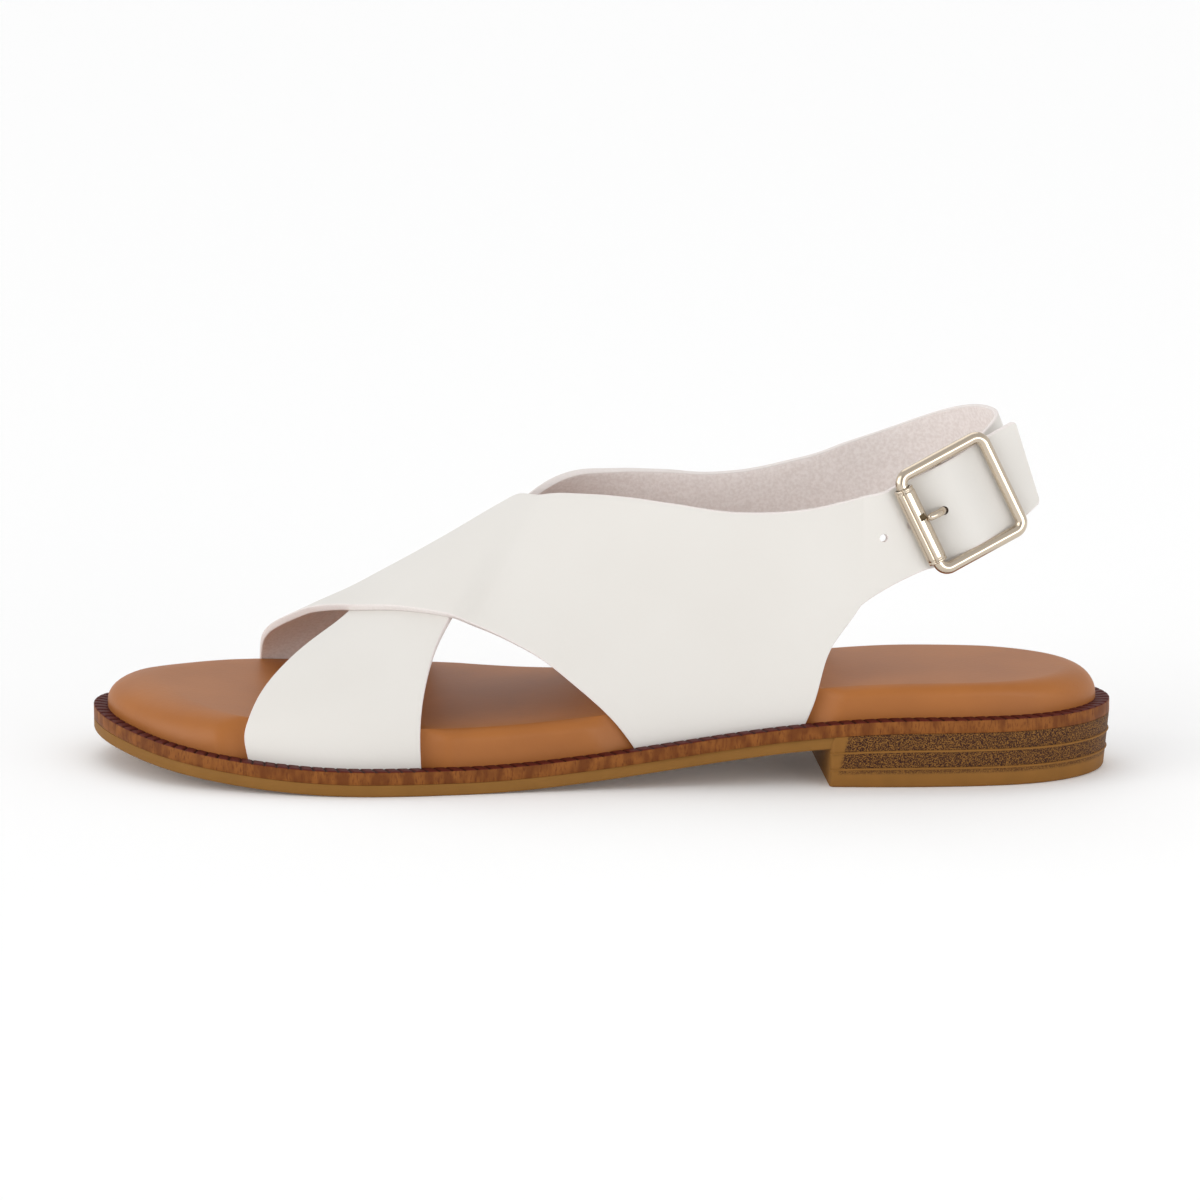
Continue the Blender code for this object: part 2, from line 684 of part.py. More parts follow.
def strap_rows(tables, counts, on_top):
    """Middle-surface rows of a strap on the last, from its lower edge to its upper edge."""
    edges = []
    for table, count in zip(tables, counts):
        edges.extend(edge_rows(table, count)[1 if edges else 0:])
    share = np.linspace(0.0, 1.0, STRAP_COLUMNS + 1)
    rows = []
    for low_station, low_angle, high_station, high_angle in edges:
        station = low_station + (high_station - low_station) * share
        angle = np.clip(low_angle + (high_angle - low_angle) * share, 0.0, 180.0)
        lift = crossing_raise(station, angle) if on_top else np.zeros_like(angle)
        rows.append(last_points(station, angle, lift + 0.5 * STRAP_THICKNESS))
    return rows


# Buckle frame of reference: along the strap to the back, across the strap upwards, and outwards
ALONG = np.array([math.cos(BUCKLE_TURN) * math.cos(BUCKLE_RISE), math.sin(BUCKLE_TURN),
                  math.cos(BUCKLE_TURN) * math.sin(BUCKLE_RISE)])
ACROSS = np.array([-math.sin(BUCKLE_RISE), 0.0, math.cos(BUCKLE_RISE)])
OUTWARD = np.cross(ALONG, ACROSS)
BUCKLE_CENTRE = world(BUCKLE_STATION, BUCKLE_SIDE, BUCKLE_HEIGHT)


def in_buckle(along, across, outward):
    """World points from places along, across and outward of the buckle frame's middle."""
    along, across, outward = np.broadcast_arrays(along, across, outward)
    return (BUCKLE_CENTRE + along[..., None] * ALONG + across[..., None] * ACROSS
            + outward[..., None] * OUTWARD)


def tail_depth(place):
    """Depth of the tail's middle surface, eased between its places in the buckle."""
    (_, front, low), (_, middle, high), (_, back, end) = TAIL_DEPTHS
    rise = low + (high - low) * (0.5 - 0.5 * np.cos(math.pi * np.clip(
        (place - front) / (middle - front), 0.0, 1.0)))
    fall = high + (end - high) * (0.5 - 0.5 * np.cos(math.pi * np.clip(
        (place - middle) / (back - middle), 0.0, 1.0)))
    return np.where(place < middle, rise, fall)


def tail_rows():
    """Middle-surface rows of the tail through the buckle, with its slanted end."""
    columns = np.linspace(-0.5, 0.5, STRAP_COLUMNS + 1)
    rows = []
    for place in np.linspace(TAIL_START, TAIL_END, 25):
        share = np.clip(place / TAIL_END, 0.0, 1.0) ** 3
        across = columns * (TAIL_WIDTH + (TAIL_END_WIDTH - TAIL_WIDTH) * share)
        along = place + TAIL_SKEW * share * across
        drift = TAIL_DRIFT * share
        rows.append(in_buckle(along, across + drift, tail_depth(along)))
    return rows


def sling_rows():
    """Middle-surface rows of the sling round the heel and of its fold round the centre bar."""
    share = np.linspace(-0.5, 0.5, STRAP_COLUMNS + 1)
    lean = np.array([-math.sin(SLING_LEAN), 0.0, math.cos(SLING_LEAN)])
    rows = [world(station, side, height) + share[:, None] * SLING_WIDTH * lean
            for _, station, side, height in SLING]
    reach = 0.5 * CENTRE_BAR_WIRE + CLEARANCE + 0.5 * FOLD_THICKNESS
    for _, place, width, depth in SLING_END:
        rows.append(in_buckle(place, share * width, -CENTRE_BAR_DROP - reach - depth))
    return rows


def fold_rows():
    """Middle-surface rows of the sling's end, turned round the centre bar and back outside it."""
    share = np.linspace(-0.5, 0.5, STRAP_COLUMNS + 1)
    reach = 0.5 * CENTRE_BAR_WIRE + CLEARANCE + 0.5 * FOLD_THICKNESS
    rows = []
    for turn in np.radians(np.linspace(-90.0, -270.0, 9)):
        rows.append(in_buckle(reach * math.cos(turn), share * FOLD_WIDTH,
                              -CENTRE_BAR_DROP + reach * math.sin(turn)))
    for _, place, drop in FOLD_LEAF:
        rows.append(in_buckle(place, share * FOLD_WIDTH, -CENTRE_BAR_DROP + reach - drop))
    return rows


def bridge(before, after, count):
    """Rows that carry a strap smoothly from its last rows on the foot to its next rows."""
    control = [before[-9], before[-5], before[-1]] + list(after)
    dense = spline(control, 60 * (len(control) - 1) + 1)
    start = int(np.argmin(np.linalg.norm(dense - before[-1], axis=(1, 2))))
    end = int(np.argmin(np.linalg.norm(dense - after[-1], axis=(1, 2))))
    picks = np.round(np.linspace(start, end, count + 1)).astype(int)[1:]
    return [dense[pick] for pick in picks]


def thick_ribbon(name, rows, thickness, **finish):
    """A closed solid of the given thickness round a grid of middle-surface rows."""
    grid = np.array(rows)
    along = np.gradient(grid, axis=0)
    across = np.gradient(grid, axis=1)
    normal = np.cross(along, across)
    normal /= np.linalg.norm(normal, axis=-1)[..., None]
    half = 0.5 * np.broadcast_to(thickness, len(grid))[:, None, None] * normal
    count, width = grid.shape[:2]
    points = np.concatenate([(grid + half).reshape(-1, 3), (grid - half).reshape(-1, 3)])

    def corner(side, row, column):
        return (side * count + row) * width + column

    faces = []
    for row in range(count - 1):
        for column in range(width - 1):
            for side in (0, 1):
                faces.append((corner(side, row, column), corner(side, row + 1, column),
                              corner(side, row + 1, column + 1), corner(side, row, column + 1)))
        for column in (0, width - 1):
            faces.append((corner(0, row, column), corner(0, row + 1, column),
                          corner(1, row + 1, column), corner(1, row, column)))
    for column in range(width - 1):
        for row in (0, count - 1):
            faces.append((corner(0, row, column), corner(0, row, column + 1),
                          corner(1, row, column + 1), corner(1, row, column)))
    return object_from(name, points, faces, **finish)


def tube(name, path, radii, side_axis, closed=False, **finish):
    """A round wire along a path that lies in the plane square to side_axis."""
    path = np.asarray(path, float)
    radii = np.broadcast_to(radii, len(path))
    if closed:
        direction = np.roll(path, -1, axis=0) - np.roll(path, 1, axis=0)
    else:
        direction = np.gradient(path, axis=0)
    direction /= np.linalg.norm(direction, axis=1)[:, None]
    second = np.cross(direction, side_axis)
    second /= np.linalg.norm(second, axis=1)[:, None]
    points = []
    for turn in np.linspace(0.0, 2.0 * math.pi, WIRE_SIDES, endpoint=False):
        points.append(path + radii[:, None] * (math.cos(turn) * np.asarray(side_axis)
                                               + math.sin(turn) * second))
    points = np.stack(points, axis=1)
    count = len(path)
    faces = []
    for step in range(count if closed else count - 1):
        other = (step + 1) % count
        for side in range(WIRE_SIDES):
            beside = (side + 1) % WIRE_SIDES
            faces.append((step * WIRE_SIDES + side, step * WIRE_SIDES + beside,
                          other * WIRE_SIDES + beside, other * WIRE_SIDES + side))
    if not closed:
        faces.append(tuple(range(WIRE_SIDES)))
        faces.append(tuple((count - 1) * WIRE_SIDES + side for side in range(WIRE_SIDES)))
    return object_from(name, points.reshape(-1, 3), faces, **finish)


# Buckle: square wire frame with a dropped centre bar, a roller on the front bar and a prong
METAL = {"colour": (0.58, 0.48, 0.34), "roughness": 0.25, "metallic": 1.0}


def build_frame():
    half_along = 0.5 * (FRAME_LENGTH - FRAME_WIRE)
    half_across = 0.5 * (FRAME_WIDTH - FRAME_WIRE)
    path = []
    corners = ((-1, -1, 180.0), (1, -1, 270.0), (1, 1, 0.0), (-1, 1, 90.0))
    for along_sign, across_sign, start in corners:
        for turn in np.radians(np.linspace(start, start + 90.0, 6)):
            path.append((along_sign * (half_along - FRAME_CORNER) + FRAME_CORNER * math.cos(turn),
                         across_sign * (half_across - FRAME_CORNER) + FRAME_CORNER * math.sin(turn)))
    flat = np.array(path)
    frame = tube("buckle_frame", in_buckle(flat[:, 0], flat[:, 1], 0.0), 0.5 * FRAME_WIRE,
                 OUTWARD, closed=True, **METAL)
    half = [(half_across - inset, -share * CENTRE_BAR_DROP) for _, inset, share in BAR_BEND]
    line = np.array(half + [(-across, depth) for across, depth in half[::-1]])
    bar = tube("centre_bar", in_buckle(0.0, line[:, 0], line[:, 1]), 0.5 * CENTRE_BAR_WIRE, ALONG)
    combine(frame, bar, "UNION")
    return frame


def prong_path():
    """The prong's middle line: an eye round the centre bar, then the shank out to its tip."""
    reach = 0.5 * CENTRE_BAR_WIRE + PRONG_PLAY + 0.5 * PRONG_WIRE
    eye = [(reach * math.cos(turn), -CENTRE_BAR_DROP + reach * math.sin(turn))
           for turn in np.radians(np.linspace(120.0, -135.0, 15))]
    shank = [(along, depth) for _, along, depth in PRONG_SHANK]
    line = np.array(eye + shank)
    return in_buckle(line[:, 0], PRONG_SIDE, line[:, 1])


def prong_tube(name, extra, **finish):
    path = prong_path()
    radii = np.full(len(path), 0.5 * PRONG_WIRE + extra)
    radii[-1] = 0.4 * PRONG_WIRE + extra
    if extra > 0.0:
        ends = [path[0] + extra * unit(path[0] - path[1]), path[-1] + extra * unit(path[-1] - path[-2])]
        path = np.vstack([ends[0], path[1:-1], ends[1]])
    return tube(name, path, radii, ACROSS, **finish)


def unit(vector):
    return vector / np.linalg.norm(vector)


def build_roller():
    half = 0.5 * ROLLER_LENGTH
    front = -0.5 * (FRAME_LENGTH - FRAME_WIRE)
    line = np.linspace(-half, half, 7)
    roller = tube("buckle_roller", in_buckle(front, line, 0.0), 0.5 * ROLLER_DIAMETER, ALONG, **METAL)
    line = 1.1 * np.array([-half, half])
    bore = tube("roller_bore", in_buckle(front, line, 0.0), 0.5 * FRAME_WIRE + ROLLER_PLAY, ALONG)
    combine(roller, bore, "DIFFERENCE")
    combine(roller, prong_tube("roller_notch", CLEARANCE), "DIFFERENCE")
    return roller


# Upper: both straps, the tail and the sling as one thin wall, joined where the straps cross
def build_upper():
    finish = {"colour": (0.8, 0.77, 0.72), "roughness": 0.45}
    over = strap_rows((OVER_STRAP, OVER_QUARTER, OVER_RISE), (34, 9, 9), True)
    tail = tail_rows()
    over = over + bridge(over, tail[:3], 5) + tail[3:]
    upper = thick_ribbon("upper", over, STRAP_THICKNESS, **finish)
    under = strap_rows((UNDER_STRAP, UNDER_QUARTER, UNDER_RISE), (34, 9, 9), False)
    fold = fold_rows()
    sling = bridge(under, sling_rows() + fold[:1], 26)
    rows = under + sling + fold[1:]
    thin = smooth_step(np.linspace(0.0, 1.0, 6))
    thickness = np.full(len(rows), STRAP_THICKNESS)
    start = len(under) + len(sling) - 6
    thickness[start:start + 6] += (FOLD_THICKNESS - STRAP_THICKNESS) * thin
    thickness[start + 6:] = FOLD_THICKNESS
    combine(upper, thick_ribbon("under_strap", rows, thickness), "UNION")
    for place in HOLE_PLACES:
        line = in_buckle(place, PRONG_SIDE, np.array(HOLE_REACH))
        hole = tube("hole", line, 0.5 * HOLE_DIAMETER, ACROSS)
        combine(upper, hole, "DIFFERENCE")
    combine(upper, prong_tube("prong_hole", CLEARANCE), "DIFFERENCE")
    return upper


build_outsole()
build_heel()
build_midsole()
build_welt()
build_insole()
build_upper()
build_frame()
build_roller()
prong_tube("buckle_prong", 0.0, **METAL)
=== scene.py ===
import math

import bmesh
import bpy
import numpy as np
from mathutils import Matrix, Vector

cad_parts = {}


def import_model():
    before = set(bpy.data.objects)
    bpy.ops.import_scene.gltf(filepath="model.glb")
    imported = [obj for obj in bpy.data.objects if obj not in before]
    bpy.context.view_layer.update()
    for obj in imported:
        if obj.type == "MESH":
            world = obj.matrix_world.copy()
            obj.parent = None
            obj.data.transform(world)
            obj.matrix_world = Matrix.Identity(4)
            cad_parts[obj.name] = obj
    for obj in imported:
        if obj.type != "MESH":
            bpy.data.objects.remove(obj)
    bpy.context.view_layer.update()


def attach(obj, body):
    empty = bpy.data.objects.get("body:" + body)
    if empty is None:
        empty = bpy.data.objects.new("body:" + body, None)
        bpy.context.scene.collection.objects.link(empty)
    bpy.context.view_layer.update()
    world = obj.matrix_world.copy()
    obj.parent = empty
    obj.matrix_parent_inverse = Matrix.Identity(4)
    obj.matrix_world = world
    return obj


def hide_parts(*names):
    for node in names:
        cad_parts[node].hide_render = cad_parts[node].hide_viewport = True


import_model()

# Under strap: one white leather strap from the outer toe side over the ball to the inner side, then on
# round the heel as a sling, and folded round the buckle's centre bar. Leather and lining are glued and cut.
# The sole's plan and the last come first, because the straps are pulled over them.
SHOE_LENGTH = 0.252
BALL_WIDTH = 0.0864
INSTEP_HEIGHT = 0.0626
TOE_SPRING = 0.0073
HEEL_RISE = 0.0107
BALL_FRONT = 0.070
BALL_BACK = 0.092
HEEL_SEAT = 0.204
OUTSOLE_THICKNESS = 0.0030
MIDSOLE_THICKNESS = 0.0027
WELT_WIDTH = 0.0034
LASTING_ROOM = 0.0003
STRAP_THICKNESS = 0.0018
PLAN_SAMPLES = 4000

# Plan of the sole: name, station, outer side, inner side, as shares of the length and the ball width
OUTLINE = (
    ("toe tip", 0.000, 0.055, 0.055),
    ("toe front", 0.010, -0.085, 0.195),
    ("toe round", 0.030, -0.187, 0.278),
    ("toe side", 0.079, -0.336, 0.393),
    ("toe joint", 0.151, -0.437, 0.481),
    ("ball front", 0.222, -0.487, 0.501),
    ("ball", 0.294, -0.498, 0.497),
    ("ball back", 0.365, -0.472, 0.461),
    ("waist front", 0.456, -0.433, 0.366),
    ("waist", 0.556, -0.403, 0.292),
    ("waist back", 0.667, -0.385, 0.259),
    ("heel front", 0.774, -0.391, 0.271),
    ("heel", 0.865, -0.377, 0.265),
    ("heel round", 0.929, -0.333, 0.215),
    ("heel corner", 0.978, -0.226, 0.113),
    ("heel back", 1.000, -0.056, -0.056),
)

# Last: name, station share, ridge height share of the instep, ridge side share of the ball width, fullness
LAST = (
    ("toes", 0.079, 0.335, 0.116, 2.20),
    ("toe opening", 0.159, 0.450, 0.116, 2.20),
    ("toe joint", 0.190, 0.505, 0.104, 2.20),
    ("ball front", 0.222, 0.558, 0.093, 2.20),
    ("ball", 0.260, 0.617, 0.081, 2.15),
    ("ball back", 0.306, 0.716, 0.069, 2.10),
    ("crossing", 0.353, 0.828, 0.052, 2.10),
    ("instep front", 0.401, 0.950, 0.035, 2.05),
    ("instep", 0.421, 1.000, 0.023, 2.05),
    ("throat", 0.480, 1.190, -0.012, 2.00),
    ("ankle front", 0.520, 1.310, -0.029, 2.00),
    ("ankle", 0.583, 1.597, -0.046, 2.00),
    ("leg front", 0.635, 1.917, -0.058, 2.00),
    ("leg", 0.698, 2.364, -0.058, 2.00),
    ("leg back", 0.774, 2.875, -0.058, 2.00),
)


def smooth_step(share):
    share = np.clip(share, 0.0, 1.0)
    return share * share * (3.0 - 2.0 * share)


def unit(vectors):
    return vectors / np.linalg.norm(vectors, axis=-1)[..., None]


def curve_through(values, points, wanted):
    """A smooth curve through the points, read at the wanted values, without overshoot."""
    x = np.asarray(values, float)
    y = np.asarray(points, float)
    step = np.diff(x)
    slope = np.diff(y) / step
    tangent = np.zeros(len(x))
    tangent[0] = slope[0]
    tangent[-1] = slope[-1]
    same_way = slope[:-1] * slope[1:] > 0.0
    near = 2.0 * step[1:] + step[:-1]
    far = step[1:] + 2.0 * step[:-1]
    safe_a = np.where(same_way, slope[:-1], 1.0)
    safe_b = np.where(same_way, slope[1:], 1.0)
    tangent[1:-1] = np.where(same_way, (near + far) / (near / safe_a + far / safe_b), 0.0)
    wanted = np.asarray(wanted, float)
    cell = np.clip(np.searchsorted(x, wanted, side="right") - 1, 0, len(step) - 1)
    width = step[cell]
    t = (wanted - x[cell]) / width
    return ((1 + 2 * t) * (1 - t) ** 2 * y[cell] + t * (1 - t) ** 2 * width * tangent[cell]
            + t * t * (3 - 2 * t) * y[cell + 1] + t * t * (t - 1) * width * tangent[cell + 1])


def spline(points, count, closed=False):
    """A cubic spline through points of any size, sampled evenly in its own parameter."""
    points = np.asarray(points, float)
    flat = points.reshape(len(points), -1)
    chord = np.diff(np.vstack([flat, flat[:1]]) if closed else flat, axis=0)
    knots = np.sqrt(np.linalg.norm(chord, axis=1))
    size = len(flat)
    matrix = np.eye(size)
    right = np.zeros_like(flat)
    for row in range(size) if closed else range(1, size - 1):
        before = knots[row - 1]
        after = knots[row]
        matrix[row, row] = 2.0 * (before + after)
        matrix[row, row - 1] = before
        matrix[row, (row + 1) % size] = after
        right[row] = 6.0 * (chord[row] / after - chord[row - 1] / before)
    bend = np.linalg.solve(matrix, right)
    ends = np.concatenate([[0.0], np.cumsum(knots)])
    place = np.linspace(0.0, ends[-1], count, endpoint=not closed)
    cell = np.clip(np.searchsorted(ends, place, side="right") - 1, 0, len(knots) - 1)
    following = (cell + 1) % size
    width = knots[cell][:, None]
    t = (place - ends[cell])[:, None]
    rest = width - t
    curve = ((bend[cell] * rest ** 3 + bend[following] * t ** 3) / (6.0 * width)
             + (flat[cell] / width - bend[cell] * width / 6.0) * rest
             + (flat[following] / width - bend[following] * width / 6.0) * t)
    return curve.reshape((count,) + points.shape[1:])


OUTER_OUTLINE = [(station * SHOE_LENGTH, side * BALL_WIDTH) for _, station, side, _ in OUTLINE]
INNER_OUTLINE = [(station * SHOE_LENGTH, side * BALL_WIDTH) for _, station, _, side in OUTLINE[-2:0:-1]]
PLAN = spline(OUTER_OUTLINE + INNER_OUTLINE, PLAN_SAMPLES, closed=True)
PLAN_SHIFT = -0.5 * (PLAN[:, 1].min() + PLAN[:, 1].max())


def world(station, side, height):
    """Stacks stations, side offsets and heights into points centred on the shoe's box."""
    station, side, height = np.broadcast_arrays(station, side, height)
    return np.stack([station - 0.5 * SHOE_LENGTH, side + PLAN_SHIFT, height], axis=-1)


def feather_height(station):
    """Height of the midsole's bottom: toe spring in front, flat at the ball, raised at the heel."""
    spring = TOE_SPRING * np.maximum(0.0, 1.0 - station / BALL_FRONT) ** 2
    heel = HEEL_RISE * smooth_step((station - BALL_BACK) / (HEEL_SEAT - BALL_BACK))
    return OUTSOLE_THICKNESS + spring + heel


def plan_inward(plan):
    along = unit(np.roll(plan, -1, axis=0) - np.roll(plan, 1, axis=0))
    return np.stack([-along[:, 1], along[:, 0]], axis=1)


def plan_sides(inset):
    """The outer and inner halves of the plan, moved in by an inset at each sample."""
    moved = PLAN + plan_inward(PLAN) * np.broadcast_to(inset, len(PLAN))[:, None]
    moved = np.roll(moved, -int(np.argmin(moved[:, 0])), axis=0)
    back = int(np.argmax(moved[:, 0]))
    return moved[:back + 1], np.vstack([moved[back:], moved[:1]])[::-1]


def side_offsets(halves, stations):
    return [np.interp(stations, half[:, 0], half[:, 1]) for half in halves]


LAST_HALVES = plan_sides(WELT_WIDTH + LASTING_ROOM + STRAP_THICKNESS)
LAST_ROWS = np.array([row[1:] for row in LAST])


def last_section(station):
    """Ridge height, ridge side, curve power, feather height and both feather sides of the last."""
    stations = LAST_ROWS[:, 0] * SHOE_LENGTH
    ridge = curve_through(stations, LAST_ROWS[:, 1] * INSTEP_HEIGHT, station)
    crest = curve_through(stations, LAST_ROWS[:, 2] * BALL_WIDTH, station)
    power = 2.0 / curve_through(stations, LAST_ROWS[:, 3], station)
    foot = feather_height(station) + MIDSOLE_THICKNESS + LASTING_ROOM
    outer, inner = side_offsets(LAST_HALVES, station)
    return ridge, crest, power, foot, outer, inner


def last_raw(station, angle):
    """Points on the last at stations and at angles in degrees round the foot."""
    ridge, crest, power, foot, outer, inner = last_section(station)
    across = np.cos(np.radians(angle))
    up = np.clip(np.sin(np.radians(angle)), 0.0, 1.0)
    base = np.where(across > 0.0, outer, inner)
    side = crest + (base - crest) * np.abs(across) ** power
    return world(station, side, foot + (ridge - foot) * up ** power)


# Steps along and round the last over which its slope is read, in metres and degrees
PROBE_STEP = 0.0002
PROBE_TURN = 0.4


def last_points(station, angle, lift):
    """Points at a lift off the last, along its outward normal."""
    station, angle = np.broadcast_arrays(np.asarray(station, float), np.asarray(angle, float))
    along = last_raw(station + PROBE_STEP, angle) - last_raw(station - PROBE_STEP, angle)
    around = (last_raw(station, np.minimum(angle + PROBE_TURN, 179.99))
              - last_raw(station, np.maximum(angle - PROBE_TURN, 0.01)))
    normal = unit(np.cross(along, around))
    outward = np.stack([np.zeros_like(angle), -np.cos(np.radians(angle)),
                        np.sin(np.radians(angle))], axis=-1)
    normal *= np.sign((normal * outward).sum(-1))[..., None]
    return last_raw(station, angle) + normal * np.asarray(lift)[..., None]


# Edges of the strap underneath: name, front edge station and angle, rear edge station and angle.
# Angles run round the foot from 0 at the outer feather line to 180 at the inner one.
UNDER_STRAP = (
    ("toe base", 0.0409, 0.0, 0.0824, 0.0),
    ("toe wall", 0.0399, 11.2, 0.0821, 9.0),
    ("toe side", 0.0407, 21.0, 0.0826, 19.2),
    ("toe shoulder", 0.0430, 33.7, 0.0849, 32.9),
    ("front corner", 0.0464, 44.6, 0.0871, 40.3),
    ("front ridge", 0.0526, 57.0, 0.0910, 48.5),
    ("front edge", 0.0598, 66.8, 0.0965, 61.0),
    ("front slope", 0.0655, 76.0, 0.1020, 76.0),
    ("under crossing", 0.0710, 91.0, 0.1072, 88.0),
    ("past crossing", 0.0768, 110.0, 0.1134, 98.8),
    ("instep side", 0.0850, 128.0, 0.1194, 108.6),
    ("quarter slope", 0.0955, 140.5, 0.1254, 116.5),
    ("quarter run", 0.1060, 150.5, 0.1313, 122.8),
    ("quarter low", 0.1170, 161.8, 0.1372, 129.5),
    ("quarter toe", 0.1265, 171.4, 0.1431, 135.3),
    ("base front", 0.1343, 180.0, 0.1490, 140.7),
)
UNDER_QUARTER = (
    ("base front", 0.1343, 180.0, 0.1490, 140.7),
    ("base second", 0.1450, 180.0, 0.1550, 145.1),
    ("base middle", 0.1560, 180.0, 0.1620, 149.0),
    ("base third", 0.1660, 180.0, 0.1690, 152.0),
    ("base back", 0.1760, 180.0, 0.1760, 154.2),
)
UNDER_RISE = (
    ("base back", 0.1760, 180.0, 0.1760, 154.2),
    ("back edge low", 0.1795, 177.0, 0.1793, 155.0),
    ("back edge", 0.1823, 173.2, 0.1825, 155.6),
    ("back edge high", 0.1860, 169.8, 0.1853, 156.0),
)

# Middle line of the heel sling: name, station, side offset, height
SLING = (
    ("inner ankle", 0.2020, 0.0176, 0.0712),
    ("inner heel", 0.2130, 0.0126, 0.0760),
    ("inner back", 0.2205, 0.0050, 0.0790),
    ("heel back", 0.2252, -0.0045, 0.0801),
    ("outer back", 0.2260, -0.0125, 0.0787),
)
SLING_WIDTH = 0.0200
SLING_LEAN = math.radians(22.0)
FOLD_WIDTH = 0.0172
FOLD_THICKNESS = 0.0012
SLING_SKIVE = 3.0
CENTRE_BAR_WIRE = 0.0018
CENTRE_BAR_DROP = 0.0040
FOLD_REACH = 0.5 * CENTRE_BAR_WIRE + LASTING_ROOM + 0.5 * FOLD_THICKNESS

# How the sling comes to the centre bar: name, place along the strap, width, depth past the fold
SLING_END = (
    ("behind the frame", 0.0100, SLING_WIDTH, 0.0017),
    ("at the fold", 0.0050, FOLD_WIDTH, 0.0004),
)

# The fold's outer leaf: name, place along the strap, drop from the fold
FOLD_LEAF = (
    ("leaf start", 0.0024, 0.0001),
    ("leaf end", 0.0050, 0.0007),
)

# Where the buckle sits: station, side offset, height, turn round Z and rise along the strap
BUCKLE_STATION = 0.2136
BUCKLE_SIDE = -0.0283
BUCKLE_HEIGHT = 0.0699
BUCKLE_TURN = math.radians(17.0)
BUCKLE_RISE = math.radians(25.8)
ALONG = np.array([math.cos(BUCKLE_TURN) * math.cos(BUCKLE_RISE), math.sin(BUCKLE_TURN),
                  math.cos(BUCKLE_TURN) * math.sin(BUCKLE_RISE)])
ACROSS = np.array([-math.sin(BUCKLE_RISE), 0.0, math.cos(BUCKLE_RISE)])
OUTWARD = np.cross(ALONG, ACROSS)
BUCKLE_CENTRE = world(BUCKLE_STATION, BUCKLE_SIDE, BUCKLE_HEIGHT)

# Steps into which the CAD cuts a strap's three tables and its sling, and how many times finer all of them
# are cut here
STRAP_CUTS = (33, 8, 8)
SLING_CUTS = 26
FINER = 4
STRAP_COLUMNS = 28

# Metres that weigh as much as one degree where an edge is drawn through its rows
DEGREE_WEIGHT = 0.0005

# How often a strap's rear edge is eased along its rows, so that its tables meet without a corner
EDGE_EASINGS = 30
EDGE_ROUND = 0.00035
EDGE_TURNS = np.radians((30.0, 60.0, 90.0))


def in_buckle(along, across, outward):
    """World points from places along, across and outward of the buckle frame's middle."""
    along, across, outward = np.broadcast_arrays(along, across, outward)
    return (BUCKLE_CENTRE + along[..., None] * ALONG + across[..., None] * ACROSS
            + outward[..., None] * OUTWARD)


def edge_rows(table, count):
    """Evenly sampled edge values of a strap table: front station and angle, rear station and angle."""
    rows = np.array([row[1:] for row in table])
    scale = np.array([1.0, DEGREE_WEIGHT, 1.0, DEGREE_WEIGHT])
    return spline(rows * scale, count) / scale


def strap_rows(tables, raise_over):
    """Middle-surface rows of a strap on the last, from its front edge to its rear edge."""
    edges = []
    for table, cuts in zip(tables, STRAP_CUTS):
        edges.extend(edge_rows(table, cuts * FINER + 1)[1 if edges else 0:])
    edges = np.array(edges)
    for _ in range(EDGE_EASINGS):
        edges[1:-1, 2:] = 0.25 * edges[:-2, 2:] + 0.5 * edges[1:-1, 2:] + 0.25 * edges[2:, 2:]
    share = np.linspace(0.0, 1.0, STRAP_COLUMNS + 1)
    rows = []
    for front_station, front_angle, rear_station, rear_angle in edges:
        station = front_station + (rear_station - front_station) * share
        angle = np.clip(front_angle + (rear_angle - front_angle) * share, 0.0, 180.0)
        rows.append(last_points(station, angle, raise_over(station, angle) + 0.5 * STRAP_THICKNESS))
    return rows


def bridge(before, after, count):
    """Rows that carry a strap smoothly from its last rows on the foot to its next rows."""
    control = [before[-1 - 8 * FINER], before[-1 - 4 * FINER], before[-1]] + list(after)
    dense = spline(control, 60 * FINER * (len(control) - 1) + 1)
    start = int(np.argmin(np.linalg.norm(dense - before[-1], axis=(1, 2))))
    end = int(np.argmin(np.linalg.norm(dense - after[-1], axis=(1, 2))))
    picks = np.round(np.linspace(start, end, count * FINER + 1)).astype(int)[1:]
    return [dense[pick] for pick in picks]


def sling_rows():
    """Middle-surface rows of the sling round the heel, up to its fold."""
    share = np.linspace(-0.5, 0.5, STRAP_COLUMNS + 1)
    lean = np.array([-math.sin(SLING_LEAN), 0.0, math.cos(SLING_LEAN)])
    rows = [world(station, side, height) + share[:, None] * SLING_WIDTH * lean
            for _, station, side, height in SLING]
    for _, place, width, depth in SLING_END:
        rows.append(in_buckle(place, share * width, -CENTRE_BAR_DROP - FOLD_REACH - depth))
    return rows


def fold_rows():
    """Middle-surface rows of the sling's end, turned round the centre bar and back outside it."""
    share = np.linspace(-0.5, 0.5, STRAP_COLUMNS + 1)
    rows = []
    for turn in np.radians(np.linspace(-90.0, -270.0, 25)):
        rows.append(in_buckle(FOLD_REACH * math.cos(turn), share * FOLD_WIDTH,
                              -CENTRE_BAR_DROP + FOLD_REACH * math.sin(turn)))
    for _, place, drop in FOLD_LEAF:
        rows.append(in_buckle(place, share * FOLD_WIDTH, -CENTRE_BAR_DROP + FOLD_REACH - drop))
    return rows


def linear(hex_colour):
    """A shader colour from an sRGB hex value."""
    parts = [int(hex_colour[place:place + 2], 16) / 255.0 for place in (0, 2, 4)]
    return (*[part / 12.92 if part <= 0.04045 else ((part + 0.055) / 1.055) ** 2.4 for part in parts], 1.0)


